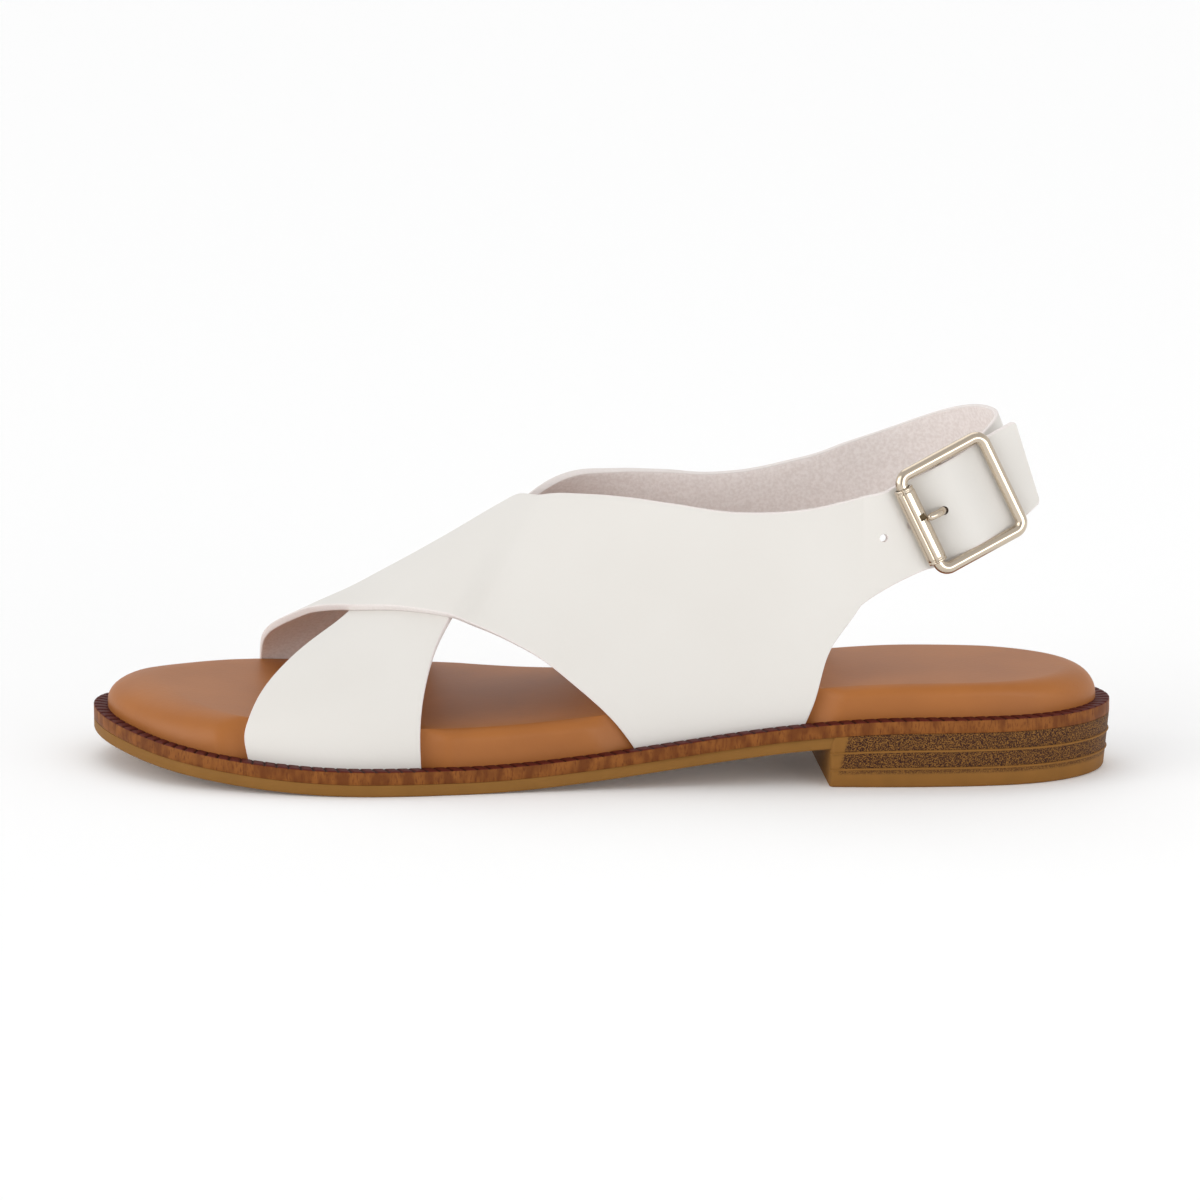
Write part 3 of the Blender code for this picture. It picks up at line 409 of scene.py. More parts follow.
def add(owner, kind, settings=None, inputs=None):
    """Adds a node; an input that is another node's socket is linked, any other value is set."""
    node = owner.node_tree.nodes.new(kind)
    for name, value in (settings or {}).items():
        setattr(node, name, value)
    for name, value in (inputs or {}).items():
        if isinstance(value, bpy.types.NodeSocket):
            owner.node_tree.links.new(value, node.inputs[name])
        else:
            node.inputs[name].default_value = value
    return node


def finish_material(name, inputs):
    """A Principled material with its fixed values set, to which the nodes are added."""
    material = bpy.data.materials.new(name)
    material.use_nodes = True
    for name, value in inputs.items():
        material.node_tree.nodes["Principled BSDF"].inputs[name].default_value = value
    return material


def link_shader(material, inputs):
    shader = material.node_tree.nodes["Principled BSDF"]
    for name, socket in inputs.items():
        material.node_tree.links.new(socket, shader.inputs[name])


def closed_mesh(name, points, faces, materials, finishes, marks):
    """A closed mesh; finishes picks each face's material and marks are values at the points."""
    mesh = bpy.data.meshes.new(name)
    mesh.from_pydata(np.asarray(points, float).tolist(), [], faces)
    for material in materials:
        mesh.materials.append(material)
    mesh.polygons.foreach_set("material_index", np.broadcast_to(finishes, len(faces)).astype(np.int32))
    for mark, values in marks.items():
        mesh.attributes.new(mark, "FLOAT", "POINT").data.foreach_set("value", np.asarray(values, np.float32))
    work = bmesh.new()
    work.from_mesh(mesh)
    bmesh.ops.remove_doubles(work, verts=work.verts, dist=1e-7)
    bmesh.ops.recalc_face_normals(work, faces=work.faces)
    work.to_mesh(mesh)
    work.free()
    return mesh


def make_piece(name, points, faces, materials, finishes=0, marks=None, sharp=50.0):
    """A piece that rides on the shoe, smooth but for edges sharper than an angle in degrees."""
    mesh = closed_mesh(name, points, faces, materials, finishes, marks or {})
    mesh.shade_smooth()
    mesh.set_sharp_from_angle(angle=math.radians(sharp))
    piece = bpy.data.objects.new(name, mesh)
    bpy.context.collection.objects.link(piece)
    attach(piece, "root")
    return piece


def quads(first, second):
    return list(zip(first[:-1].tolist(), first[1:].tolist(), second[1:].tolist(), second[:-1].tolist()))


def ring_faces(count, size, closed=False):
    """Faces from each ring of points to the next; closed also joins the last ring to the first."""
    faces = []
    around = np.arange(size + 1) % size
    for ring in range(count if closed else count - 1):
        faces.extend(quads(ring * size + around, (ring + 1) % count * size + around))
    return faces


def strap_piece(name, rows, thickness, facing, materials):
    """A strap with rounded cut edges; the materials are leather outside, lining inside and raw edge."""
    grid = np.array(rows)
    count, width = grid.shape[:2]
    normal = facing * unit(np.cross(np.gradient(grid, axis=0), np.gradient(grid, axis=1)))
    half = 0.5 * np.broadcast_to(thickness, count)[:, None]
    front_out = unit(grid[:, 0] - grid[:, 1])
    rear_out = unit(grid[:, -1] - grid[:, -2])
    grid[:, 0] -= EDGE_ROUND * front_out
    grid[:, -1] -= EDGE_ROUND * rear_out
    loop = [grid[:, column] + half * normal[:, column] for column in range(width)]
    finishes = [0] * (width - 1)
    for column, out, order in ((-1, rear_out, 1), (0, front_out, -1)):
        base = grid[:, column]
        up = normal[:, column]
        edge = []
        for side, turns in ((1, EDGE_TURNS), (-1, EDGE_TURNS[::-1])):
            for turn in turns:
                rise = half - EDGE_ROUND + EDGE_ROUND * math.cos(turn)
                edge.append(base + EDGE_ROUND * math.sin(turn) * out + side * rise * up)
        loop.extend(edge[::order])
        finishes.extend([2] * (len(edge) + 1))
        if order > 0:
            loop.extend(grid[:, column] - half * normal[:, column] for column in range(width - 1, -1, -1))
            finishes.extend([1] * (width - 1))
    size = len(loop)
    points = np.stack(loop, axis=1).reshape(-1, 3)
    faces = ring_faces(count, size)
    finishes = finishes * (count - 1)
    turns = 2 * len(EDGE_TURNS)
    inner_end = 2 * width + turns - 1
    for row in (0, count - 1):
        start = row * size
        for column in range(width - 1):
            faces.append((start + column, start + column + 1,
                          start + inner_end - column - 1, start + inner_end - column))
        faces.append(tuple(range(start + width - 1, start + width + turns + 1)))
        faces.append((start,) + tuple(range(start + inner_end, start + size)))
        finishes.extend([2] * (width + 1))
    return make_piece(name, points, faces, materials, finishes)


# Plated leather: a closed grain pressed smooth, semi-matt and faintly clouded, with a very fine pebble.
# The pebble is drawn coarser than real, so that it shows.
GRAIN_SIZE = 0.0009
GRAIN_DEPTH = 0.00003
WHITE_CLOUD = 0.030
white_leather = finish_material("plated_white_leather",
                                {"Roughness": 0.5, "IOR": 1.5, "Specular IOR Level": 0.35})
place = add(white_leather, "ShaderNodeTexCoord").outputs["Object"]
cloud = add(white_leather, "ShaderNodeTexNoise", {},
            {"Vector": place, "Scale": 1.0 / WHITE_CLOUD, "Detail": 2.0})
tone = add(white_leather, "ShaderNodeMix", {"data_type": "RGBA"},
           {"Factor": cloud.outputs["Fac"], 6: linear("d8d4ce"), 7: linear("dddad5")})
grain = add(white_leather, "ShaderNodeTexVoronoi", {"feature": "SMOOTH_F1"},
            {"Vector": place, "Scale": 1.0 / GRAIN_SIZE, "Smoothness": 0.6})
pebble = add(white_leather, "ShaderNodeBump", {},
             {"Height": grain.outputs["Distance"], "Strength": 0.35, "Distance": GRAIN_DEPTH})
link_shader(white_leather, {"Base Color": tone.outputs[2], "Normal": pebble.outputs["Normal"]})

# Brushed microfibre: a soft grey-pink nap that scatters light and looks clouded where it is stroked.
# The nap is drawn coarser than real, so that it shows.
NAP_SIZE = 0.0004
NAP_DEPTH = 0.00012
STROKE_SIZE = 0.0008
lining = finish_material("brushed_microfibre_lining",
                         {"Roughness": 0.95, "IOR": 1.45, "Sheen Weight": 0.25, "Sheen Roughness": 0.5})
place = add(lining, "ShaderNodeTexCoord").outputs["Object"]
nap = add(lining, "ShaderNodeTexNoise", {}, {"Vector": place, "Scale": 1.0 / NAP_SIZE, "Detail": 3.0})
stroke = add(lining, "ShaderNodeTexNoise", {}, {"Vector": place, "Scale": 1.0 / STROKE_SIZE, "Detail": 3.0})
stroked = add(lining, "ShaderNodeMapRange", {},
              {"Value": stroke.outputs["Fac"], "From Min": 0.35, "From Max": 0.65})
tone = add(lining, "ShaderNodeMix", {"data_type": "RGBA"},
           {"Factor": stroked.outputs["Result"], 6: linear("e4dcd8"), 7: linear("f0eae7")})
fuzz = add(lining, "ShaderNodeBump", {},
           {"Height": nap.outputs["Fac"], "Strength": 0.6, "Distance": NAP_DEPTH})
link_shader(lining, {"Base Color": tone.outputs[2], "Normal": fuzz.outputs["Normal"]})

# Raw leather edge: sliced through, pale and pinkish, with short fibres that make it uneven.
FIBRE_SIZE = 0.0006
FIBRE_DEPTH = 0.0001
raw_edge = finish_material("raw_leather_edge", {"Roughness": 0.85, "IOR": 1.45})
place = add(raw_edge, "ShaderNodeTexCoord").outputs["Object"]
fibre = add(raw_edge, "ShaderNodeTexNoise", {}, {"Vector": place, "Scale": 1.0 / FIBRE_SIZE, "Detail": 3.0})
tone = add(raw_edge, "ShaderNodeMix", {"data_type": "RGBA"},
           {"Factor": fibre.outputs["Fac"], 6: linear("dbd2ce"), 7: linear("e7e1de")})
rough_cut = add(raw_edge, "ShaderNodeBump", {},
                {"Height": fibre.outputs["Fac"], "Strength": 0.5, "Distance": FIBRE_DEPTH})
link_shader(raw_edge, {"Base Color": tone.outputs[2], "Normal": rough_cut.outputs["Normal"]})

STRAP_FINISHES = (white_leather, lining, raw_edge)
RAW_EDGE = 2  # its place in the list
under_on_foot = strap_rows((UNDER_STRAP, UNDER_QUARTER, UNDER_RISE), lambda station, angle: 0.0)
fold = fold_rows()
sling = bridge(under_on_foot, sling_rows() + fold[:1], SLING_CUTS)
under_rows = under_on_foot + sling + fold[1:]
thinning = smooth_step((np.arange(len(under_rows)) - len(under_on_foot)) / len(sling) * SLING_SKIVE)
under_thickness = STRAP_THICKNESS + (FOLD_THICKNESS - STRAP_THICKNESS) * thinning
under_strap = strap_piece("under_strap", under_rows, under_thickness, -1.0, STRAP_FINISHES)
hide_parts("upper")

# Over strap: the matching strap from the inner toe side over the under strap to the outer side, where it
# rises into the tail that passes through the buckle. It is glued on at the crossing and lasted into the sole.
# The tail has punched holes on one line, and the prong sits in the third.
CROSSING_RAMP_FRONT = 0.030
CROSSING_RAMP_BACK = 0.010
TAIL_JOIN_CUTS = 5
TAIL_CUTS = 24
TAIL_START = -0.0150
TAIL_END = 0.0199
TAIL_SKEW = 0.15
TAIL_CORNER = 0.0009
HOLE_DIAMETER = 0.0019
HOLE_SIDE = 0.0006
HOLE_TOP = 0.006
HOLE_FACETS = 24
PRONG_WIRE = 0.0019

# Open holes: place along the strap and the depth from which the punch starts
HOLE_PLACES = ((-0.0201, -0.0080), (-0.0133, -0.0030))

# Hole with the prong in it: place along the strap, place across it and the depth from which the punch starts
PRONG_HOLE = (-0.0047, 0.0003, -0.0011)

# Edges of the strap on top: name, front edge station and angle, rear edge station and angle
OVER_STRAP = (
    ("toe base", 0.0408, 180.0, 0.0824, 180.0),
    ("toe wall", 0.0400, 165.0, 0.0822, 167.0),
    ("toe side", 0.0402, 148.0, 0.0836, 154.0),
    ("toe shoulder", 0.0416, 126.0, 0.0871, 139.7),
    ("front corner", 0.0466, 106.0, 0.0930, 127.0),
    ("front ridge", 0.0556, 88.0, 0.1000, 111.0),
    ("front edge", 0.0640, 75.0, 0.1068, 92.0),
    ("front slope", 0.0728, 64.0, 0.1121, 80.1),
    ("over crossing", 0.0828, 52.8, 0.1170, 71.6),
    ("past crossing", 0.0928, 42.7, 0.1217, 64.7),
    ("instep side", 0.1025, 32.9, 0.1266, 60.0),
    ("quarter slope", 0.1112, 24.2, 0.1312, 55.4),
    ("quarter run", 0.1183, 16.8, 0.1358, 50.6),
    ("quarter low", 0.1243, 10.9, 0.1407, 45.5),
    ("quarter toe", 0.1298, 5.4, 0.1450, 41.6),
    ("base front", 0.1343, 0.0, 0.1490, 38.2),
)
OVER_QUARTER = (
    ("base front", 0.1343, 0.0, 0.1490, 38.2),
    ("base second", 0.1450, 0.0, 0.1560, 32.6),
    ("base middle", 0.1560, 0.0, 0.1630, 28.6),
    ("base third", 0.1660, 0.0, 0.1702, 25.2),
    ("base back", 0.1760, 0.0, 0.1767, 23.2),
)
OVER_RISE = (
    ("base back", 0.1760, 0.0, 0.1767, 23.2),
    ("back edge low", 0.1789, 3.0, 0.1800, 22.4),
    ("back edge", 0.1814, 6.6, 0.1835, 21.8),
    ("back edge high", 0.1858, 9.0, 0.1868, 21.2),
    ("tail start", 0.1895, 10.6, 0.1900, 20.8),
)

# Edges of the tail in the buckle: name, place along the strap, lower edge, upper edge
TAIL_EDGES = (
    ("before the roller", -0.0150, -0.01085, 0.01085),
    ("past the roller", -0.0095, -0.0119, 0.01085),
    ("before the centre bar", -0.0040, -0.0114, 0.01085),
    ("past the centre bar", 0.0030, -0.0113, 0.01085),
    ("before the back bar", 0.0090, -0.0119, 0.01085),
    ("under the back bar", 0.0120, -0.0114, 0.0110),
    ("end", TAIL_END, -0.0097, 0.0112),
)

# Depth of the tail's middle surface in the buckle: name, place along the strap, depth from the frame
TAIL_DEPTHS = (
    ("under the roller", -0.01165, -0.0035),
    ("over the centre bar", 0.0, -0.0004),
    ("under the back bar", 0.01165, -0.0027),
)


def crossing_raise(station, angle):
    """How far the over strap is lifted where the under strap passes below it."""
    rows = np.array([row[1:] for row in UNDER_STRAP])
    front = curve_through(rows[:, 1], rows[:, 0], angle)
    back = curve_through(rows[:, 3], rows[:, 2], angle)
    rising = smooth_step(1.0 + (station - front) / CROSSING_RAMP_FRONT)
    falling = smooth_step(1.0 + (back - station) / CROSSING_RAMP_BACK)
    return STRAP_THICKNESS * np.minimum(rising, falling)


def tail_depth(place):
    """Depth of the tail's middle surface, eased between its places in the buckle."""
    (_, front, low), (_, middle, high), (_, back, end) = TAIL_DEPTHS
    rise = low + (high - low) * (0.5 - 0.5 * np.cos(math.pi * np.clip(
        (place - front) / (middle - front), 0.0, 1.0)))
    fall = high + (end - high) * (0.5 - 0.5 * np.cos(math.pi * np.clip(
        (place - middle) / (back - middle), 0.0, 1.0)))
    return np.where(place < middle, rise, fall)


def tail_rows():
    """Middle-surface rows of the tail through the buckle, with its slanted end and rounded corners."""
    columns = np.linspace(0.0, 1.0, STRAP_COLUMNS + 1)
    edges = np.array([row[1:] for row in TAIL_EDGES])
    places = np.linspace(TAIL_START, TAIL_END, TAIL_CUTS * FINER + 1)
    rounding = TAIL_CORNER * (1.0 - np.sin(np.radians((0, 25, 50, 70, 90))))
    places = np.concatenate([places[:-3], TAIL_END - rounding])
    rows = []
    for place in places:
        share = np.clip(place / TAIL_END, 0.0, 1.0) ** 3
        near_end = np.clip(1.0 - (TAIL_END - place) / TAIL_CORNER, 0.0, 1.0)
        corner = TAIL_CORNER * (1.0 - math.sqrt(1.0 - near_end ** 2))
        lower = curve_through(edges[:, 0], edges[:, 1], place) + corner
        upper = curve_through(edges[:, 0], edges[:, 2], place) - corner
        across = lower + (upper - lower) * columns
        along = place + TAIL_SKEW * share * across
        rows.append(in_buckle(along, across, tail_depth(along)))
    return rows


def tube(path, radii, side_axis, sides, closed=False, flat=1.0):
    """Points and faces of a wire along a path that lies in the plane square to side_axis."""
    path = np.asarray(path, float)
    radii = np.broadcast_to(radii, len(path))[:, None]
    around = np.roll(path, -1, axis=0) - np.roll(path, 1, axis=0)
    direction = around if closed else np.gradient(path, axis=0)
    second = unit(np.cross(direction, side_axis))
    points = np.stack([path + radii * (math.cos(turn) * side_axis + flat * math.sin(turn) * second)
                       for turn in np.linspace(0.0, 2.0 * math.pi, sides, endpoint=False)], axis=1)
    faces = ring_faces(len(path), sides, closed)
    if not closed:
        faces.append(tuple(range(sides)))
        faces.append(tuple((len(path) - 1) * sides + side for side in range(sides)))
    return points.reshape(-1, 3), faces


def cut(piece, points, faces, finish):
    """Takes a closed tool out of a piece; the cut faces get the material with that number."""
    mesh = closed_mesh("punch", points, faces, piece.data.materials, finish, {})
    punch = bpy.data.objects.new("punch", mesh)
    bpy.context.collection.objects.link(punch)
    step = piece.modifiers.new("cut", "BOOLEAN")
    step.operation = "DIFFERENCE"
    step.solver = "EXACT"
    step.object = punch
    bpy.context.view_layer.update()
    shaped = piece.evaluated_get(bpy.context.evaluated_depsgraph_get())
    result = bpy.data.meshes.new_from_object(shaped)
    piece.modifiers.clear()
    piece.data = result
    bpy.data.objects.remove(punch, do_unlink=True)


# Prong hole: the cut leather in the prong's hole, given a dark colour that is painted shade for the dark
# inside of the hole.
HOLE_PAINTED_SHADE = 3  # its place in the strap's list of finishes
hole_painted_shade = finish_material("hole_leather_painted_shade",
                            {"Base Color": linear("837972"), "Roughness": 0.9, "IOR": 1.45})

over_on_foot = strap_rows((OVER_STRAP, OVER_QUARTER, OVER_RISE), crossing_raise)
tail = tail_rows()
join = bridge(over_on_foot, tail[0:2 * FINER + 1:FINER], TAIL_JOIN_CUTS)
over_rows = over_on_foot + join + tail[2 * FINER + 1:]
over_strap = strap_piece("over_strap", over_rows, STRAP_THICKNESS, 1.0, STRAP_FINISHES + (hole_painted_shade,))
for along, depth in HOLE_PLACES:
    hole_line = in_buckle(along, HOLE_SIDE, np.array((depth, HOLE_TOP)))
    cut(over_strap, *tube(hole_line, 0.5 * HOLE_DIAMETER, ACROSS, HOLE_FACETS), RAW_EDGE)
hole_line = in_buckle(PRONG_HOLE[0], PRONG_HOLE[1], np.array((PRONG_HOLE[2], HOLE_TOP)))
# The prong's hole gets the painted-shade finish on its cut faces.
cut(over_strap, *tube(hole_line, 0.5 * PRONG_WIRE + 0.5 * LASTING_ROOM, ACROSS, HOLE_FACETS), HOLE_PAINTED_SHADE)
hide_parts("upper")

# Buckle frame: a square of bent wire, brazed shut, with a dropped centre bar that holds sling and prong.
# It is steel wire, tumbled and plated with champagne nickel.
# The strap's fold is closed round the centre bar.
FRAME_LENGTH = 0.0263
FRAME_WIDTH = 0.0283
FRAME_WIRE = 0.0030
FRAME_CORNER = 0.0024
WIRE_SIDES = 40

# Bend at each end of the centre bar: name, distance in from the frame, share of the drop
BAR_BEND = (
    ("in the frame", 0.0, 0.0),
    ("going down", 0.0006, 0.55),
    ("bend", 0.0016, 0.92),
    ("level", 0.0026, 1.0),
)

# Champagne nickel: a polished plated metal, warm, with the faint haze that tumbling leaves.
HAZE_SIZE = 0.002
nickel = finish_material("champagne_nickel_plate", {"Metallic": 1.0, "Base Color": linear("cbbdaa")})
place = add(nickel, "ShaderNodeTexCoord").outputs["Object"]
haze = add(nickel, "ShaderNodeTexNoise", {}, {"Vector": place, "Scale": 1.0 / HAZE_SIZE, "Detail": 2.0})
dulled = add(nickel, "ShaderNodeMapRange", {}, {"Value": haze.outputs["Fac"], "To Min": 0.15, "To Max": 0.20})
link_shader(nickel, {"Roughness": dulled.outputs["Result"]})

half_along = 0.5 * (FRAME_LENGTH - FRAME_WIRE)
half_across = 0.5 * (FRAME_WIDTH - FRAME_WIRE)
frame_path = []
for along_sign, across_sign, start in ((-1, -1, 180.0), (1, -1, 270.0), (1, 1, 0.0), (-1, 1, 90.0)):
    for turn in np.radians(np.linspace(start, start + 90.0, 17)):
        frame_path.append((along_sign * (half_along - FRAME_CORNER) + FRAME_CORNER * math.cos(turn),
                           across_sign * (half_across - FRAME_CORNER) + FRAME_CORNER * math.sin(turn)))
frame_path = np.array(frame_path)
points, faces = tube(in_buckle(frame_path[:, 0], frame_path[:, 1], 0.0), 0.5 * FRAME_WIRE,
                     OUTWARD, WIRE_SIDES, closed=True)
half_bar = [(half_across - inset, -share * CENTRE_BAR_DROP) for _, inset, share in BAR_BEND]
bar_line = spline(half_bar + [(-across, depth) for across, depth in half_bar[::-1]], 80)
bar_points, bar_faces = tube(in_buckle(0.0, bar_line[:, 0], bar_line[:, 1]), 0.5 * CENTRE_BAR_WIRE,
                             ALONG, WIRE_SIDES)
faces += [tuple(len(points) + corner for corner in face) for face in bar_faces]
buckle_frame = make_piece("buckle_frame", np.vstack([points, bar_points]), faces, [nickel])
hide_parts("buckle_frame")

# Buckle roller: a tube that turns on the frame's front bar, so the strap slides through without chafing.
# It is rolled from sheet, which leaves a seam along it, with a turned lip near each end, and plated.
# A notch takes the prong's tip.
ROLLER_DIAMETER = 0.0049
ROLLER_LENGTH = 0.0200
ROLLER_PLAY = 0.0003
ROLLER_SIDES = 144
LIP_PLACE = 0.0008
LIP_WIDTH = 0.0003
LIP_DEPTH = 0.00012
ROLLER_ROUND = 0.0003
SEAM_TURN = math.radians(118.0)
SEAM_WIDTH = math.radians(4.0)
SEAM_DEPTH = 0.00030
ROLLER_NOTCH_PLACE = -0.0109
ROLLER_NOTCH_SIDE = 0.0019
ROLLER_NOTCH_SIZE = 0.0016
ROLLER_NOTCH_REACH = (0.0018, 0.0040)

half = 0.5 * ROLLER_LENGTH
steps = np.concatenate([[0.0, 0.00005, 0.00015, ROLLER_ROUND], np.linspace(0.0005, 0.0017, 17),
                        np.linspace(0.002, half, 12)])
steps = np.concatenate([steps - half, (half - steps)[-2::-1]])
inset = np.maximum(0.0, ROLLER_ROUND - (half - np.abs(steps)))
outer_radius = (0.5 * ROLLER_DIAMETER - (ROLLER_ROUND - np.sqrt(ROLLER_ROUND ** 2 - inset ** 2))
                - LIP_DEPTH * np.exp(-((half - np.abs(steps) - LIP_PLACE) / LIP_WIDTH) ** 2))
turns = np.linspace(0.0, 2.0 * math.pi, ROLLER_SIDES, endpoint=False)
seam = SEAM_DEPTH * np.exp(-((turns - SEAM_TURN) / SEAM_WIDTH) ** 2)
rings = [outer_radius[:, None] - seam[None, :],
         np.full((len(steps), ROLLER_SIDES), 0.5 * FRAME_WIRE + ROLLER_PLAY)[::-1]]
radius = np.vstack(rings)
ring_place = np.concatenate([steps, steps[::-1]])
points = in_buckle(-half_along + radius * np.cos(turns), ring_place[:, None], radius * np.sin(turns))
points = points.reshape(-1, 3)
faces = ring_faces(len(radius), ROLLER_SIDES, closed=True)

# Notch floor: dull steel whose dark colour is painted shade, for the shade deep in the notch.
NOTCH_PAINTED_SHADE = 1  # its place in the roller's list of finishes
notch_painted_shade = finish_material("notch_steel_painted_shade",
                             {"Metallic": 1.0, "Base Color": linear("554835"), "Roughness": 0.5})
buckle_roller = make_piece("buckle_roller", points, faces, [nickel, notch_painted_shade], sharp=35.0)
notch_line = in_buckle(ROLLER_NOTCH_PLACE, ROLLER_NOTCH_SIDE, np.array(ROLLER_NOTCH_REACH))
square_punch = tube(notch_line, ROLLER_NOTCH_SIZE / math.sqrt(2.0), unit(ALONG + ACROSS), 4)
# The notch's cut faces get the painted-shade finish.
cut(buckle_roller, *square_punch, NOTCH_PAINTED_SHADE)
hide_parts("buckle_roller")

# Buckle prong: a short wire pin that turns on the centre bar, goes through a hole in the tail and lies
# in the roller's notch. It is bent and slightly flattened from plated steel wire.
# Its eye is closed round the bar.
PRONG_FLAT = 0.85
PRONG_SIDE = 0.0010
PRONG_SKEW = -0.11
PRONG_PLAY = 0.0002
PRONG_TIP = 0.0012

# Middle line of the shank: name, place along the strap, depth from the frame
PRONG_SHANK = (
    ("under the tail", -0.0031, -0.0031),
    ("through the hole", -0.0054, 0.0003),
    ("bend", -0.0072, 0.0014),
    ("tip", -0.0098, 0.0019),
)

eye_reach = 0.5 * CENTRE_BAR_WIRE + PRONG_PLAY + 0.5 * PRONG_WIRE
eye = [(eye_reach * math.cos(turn), -CENTRE_BAR_DROP + eye_reach * math.sin(turn))
       for turn in np.radians(np.linspace(120.0, -135.0, 41))]
shank = spline(eye[-2:] + [(along, depth) for _, along, depth in PRONG_SHANK], 41)[8:]
line = np.vstack([eye[:-1], shank])
line = in_buckle(line[:, 0], PRONG_SIDE + PRONG_SKEW * (line[:, 0] - line[-1, 0]), line[:, 1])
reach_left = np.linalg.norm(line - line[-1], axis=1)
tip = np.sqrt(np.clip(1.0 - (1.0 - reach_left / PRONG_TIP) ** 2, 0.04, 1.0))
radii = 0.5 * PRONG_WIRE * np.where(reach_left < PRONG_TIP, tip, 1.0)
points, faces = tube(line, radii, ACROSS, WIRE_SIDES, flat=PRONG_FLAT)
buckle_prong = make_piece("buckle_prong", points, faces, [nickel])
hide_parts("buckle_prong")

# Footbed: a foam pad with tan leather drawn round it and glued under, set inside the welt.
# Its rim is full and rounded, longer at the toe, and each strap goes down beside it into the sole.
# The straps press it in where they pass.
INSOLE_HEIGHT_BALL = 0.0105
INSOLE_HEIGHT_HEEL = 0.0087
INSOLE_TILT_BALL = 0.0010
INSOLE_TILT_HEEL = 0.0003
INSOLE_EDGE_ROUND = 0.0030
INSOLE_TOE_ROUND = 0.0150
INSOLE_BACK_ROUND = 0.0080
INSOLE_TOE_DROP = 0.0006
TOE_ROUND_REACH = 0.060
TOE_DROP_REACH = 0.040
BACK_ROUND_REACH = 0.030
ROUND_LIMIT = 0.80
PRESS_REACH = 0.0080
PRESS_ROOM = 0.0001
PRESS_TOP = 0.045
FOOTBED_TUCK = 0.0002
FOOTBED_STEPS = 420
FOOTBED_COLUMNS = 16


def even_stations(first, last, round_first, round_last, count):
    """Stations from first to last, closer together at an end that is rounded in plan."""
    share = np.linspace(0.0, 1.0, count + 1)
    if round_first and round_last:
        share = 0.5 - 0.5 * np.cos(math.pi * share)
    elif round_first:
        share = 1.0 - np.cos(0.5 * math.pi * share)
    elif round_last:
        share = np.sin(0.5 * math.pi * share)
    return first + (last - first) * share


def slab(levels, columns):
    """Points and faces of a closed layer from levels of outer and inner rows, lowest first."""
    count = len(levels[0][0])
    points = np.concatenate([row for level in levels for row in level])
    index = np.arange(len(points)).reshape(len(levels), 2, count)
    faces = []
    for low, high in zip(index[:-1], index[1:]):
        for side in (0, 1):
            faces.extend(quads(low[side], high[side]))
        for step in (0, -1):
            faces.append((int(low[0, step]), int(low[1, step]), int(high[1, step]), int(high[0, step])))
    for level in (0, -1):
        outer, inner = levels[level]
        shares = np.linspace(0.0, 1.0, columns + 1)[1:-1, None, None]
        between = np.arange(len(points), len(points) + len(shares) * count).reshape(len(shares), count)
        points = np.concatenate([points, (outer + (inner - outer) * shares).reshape(-1, 3)])
        rows = [index[level, 0], *between, index[level, 1]]
        for first, second in zip(rows[:-1], rows[1:]):
            faces.extend(quads(first, second))
    return points, faces


def footbed_height(station, offset):
    """Height above the midsole at a side offset; it rises a little towards the inner side."""
    share = smooth_step((station - BALL_BACK) / (HEEL_SEAT - BALL_BACK))
    toe = INSOLE_TOE_DROP * np.maximum(0.0, 1.0 - station / TOE_DROP_REACH)
    middle = INSOLE_HEIGHT_BALL + (INSOLE_HEIGHT_HEEL - INSOLE_HEIGHT_BALL) * share - toe
    tilt = INSOLE_TILT_BALL + (INSOLE_TILT_HEEL - INSOLE_TILT_BALL) * share
    return middle + tilt * offset / (0.5 * BALL_WIDTH)


def footbed_round(station):
    """How far the rounding of the rim reaches in, longer at the toe and the heel back."""
    toe = np.maximum(0.0, 1.0 - station / TOE_ROUND_REACH) ** 1.5
    back = np.maximum(0.0, 1.0 - (SHOE_LENGTH - station) / BACK_ROUND_REACH) ** 1.5
    return (INSOLE_EDGE_ROUND + (INSOLE_TOE_ROUND - INSOLE_EDGE_ROUND) * toe
            + (INSOLE_BACK_ROUND - INSOLE_EDGE_ROUND) * back)


def last_sides(station, height):
    """Side offsets of the last's outer and inner wall at a height."""
    ridge, crest, power, foot, outer, inner = last_section(station)
    up = np.clip((height - foot) / (ridge - foot), 0.0, 1.0) ** (1.0 / power)
    across = np.sqrt(1.0 - up * up) ** power
    return crest + (outer - crest) * across, crest + (inner - crest) * across


def edge_line(rows, column):
    """Stations and heights of a strap's edge near the sole, lowest first."""
    edge = np.array([row[column] for row in rows])
    edge = edge[np.argsort(edge[:, 2])]
    edge = edge[edge[:, 2] < PRESS_TOP]
    return edge[:, 0] + 0.5 * SHOE_LENGTH, edge[:, 2]


def footbed_rim(station, offset, rise):
    """Height of the rim at a share: up to 1 on the wall, from there on the rounding."""
    drop = np.minimum(footbed_round(station), ROUND_LIMIT * footbed_height(station, offset))
    wall = footbed_height(station, offset) - drop
    return feather_height(station) + MIDSOLE_THICKNESS + wall * min(rise, 1.0) + max(rise - 1.0, 0.0) * drop


def pressed(stations, edges, offset, rise):
    """How far the straps press the rim in: fully beside a strap, easing off in front of it and behind it."""
    share = np.zeros(len(stations))
    for (front_stations, front_heights), (back_stations, back_heights) in zip(edges[0::2], edges[1::2]):
        front = front_stations[0]
        back = back_stations[0]
        for _ in range(3):
            front = np.interp(footbed_rim(front, offset, rise), front_heights, front_stations)
            back = np.interp(footbed_rim(back, offset, rise), back_heights, back_stations)
        outside = np.maximum(front - stations, stations - back)
        share = np.maximum(share, 1.0 - smooth_step(outside / PRESS_REACH))
    return share


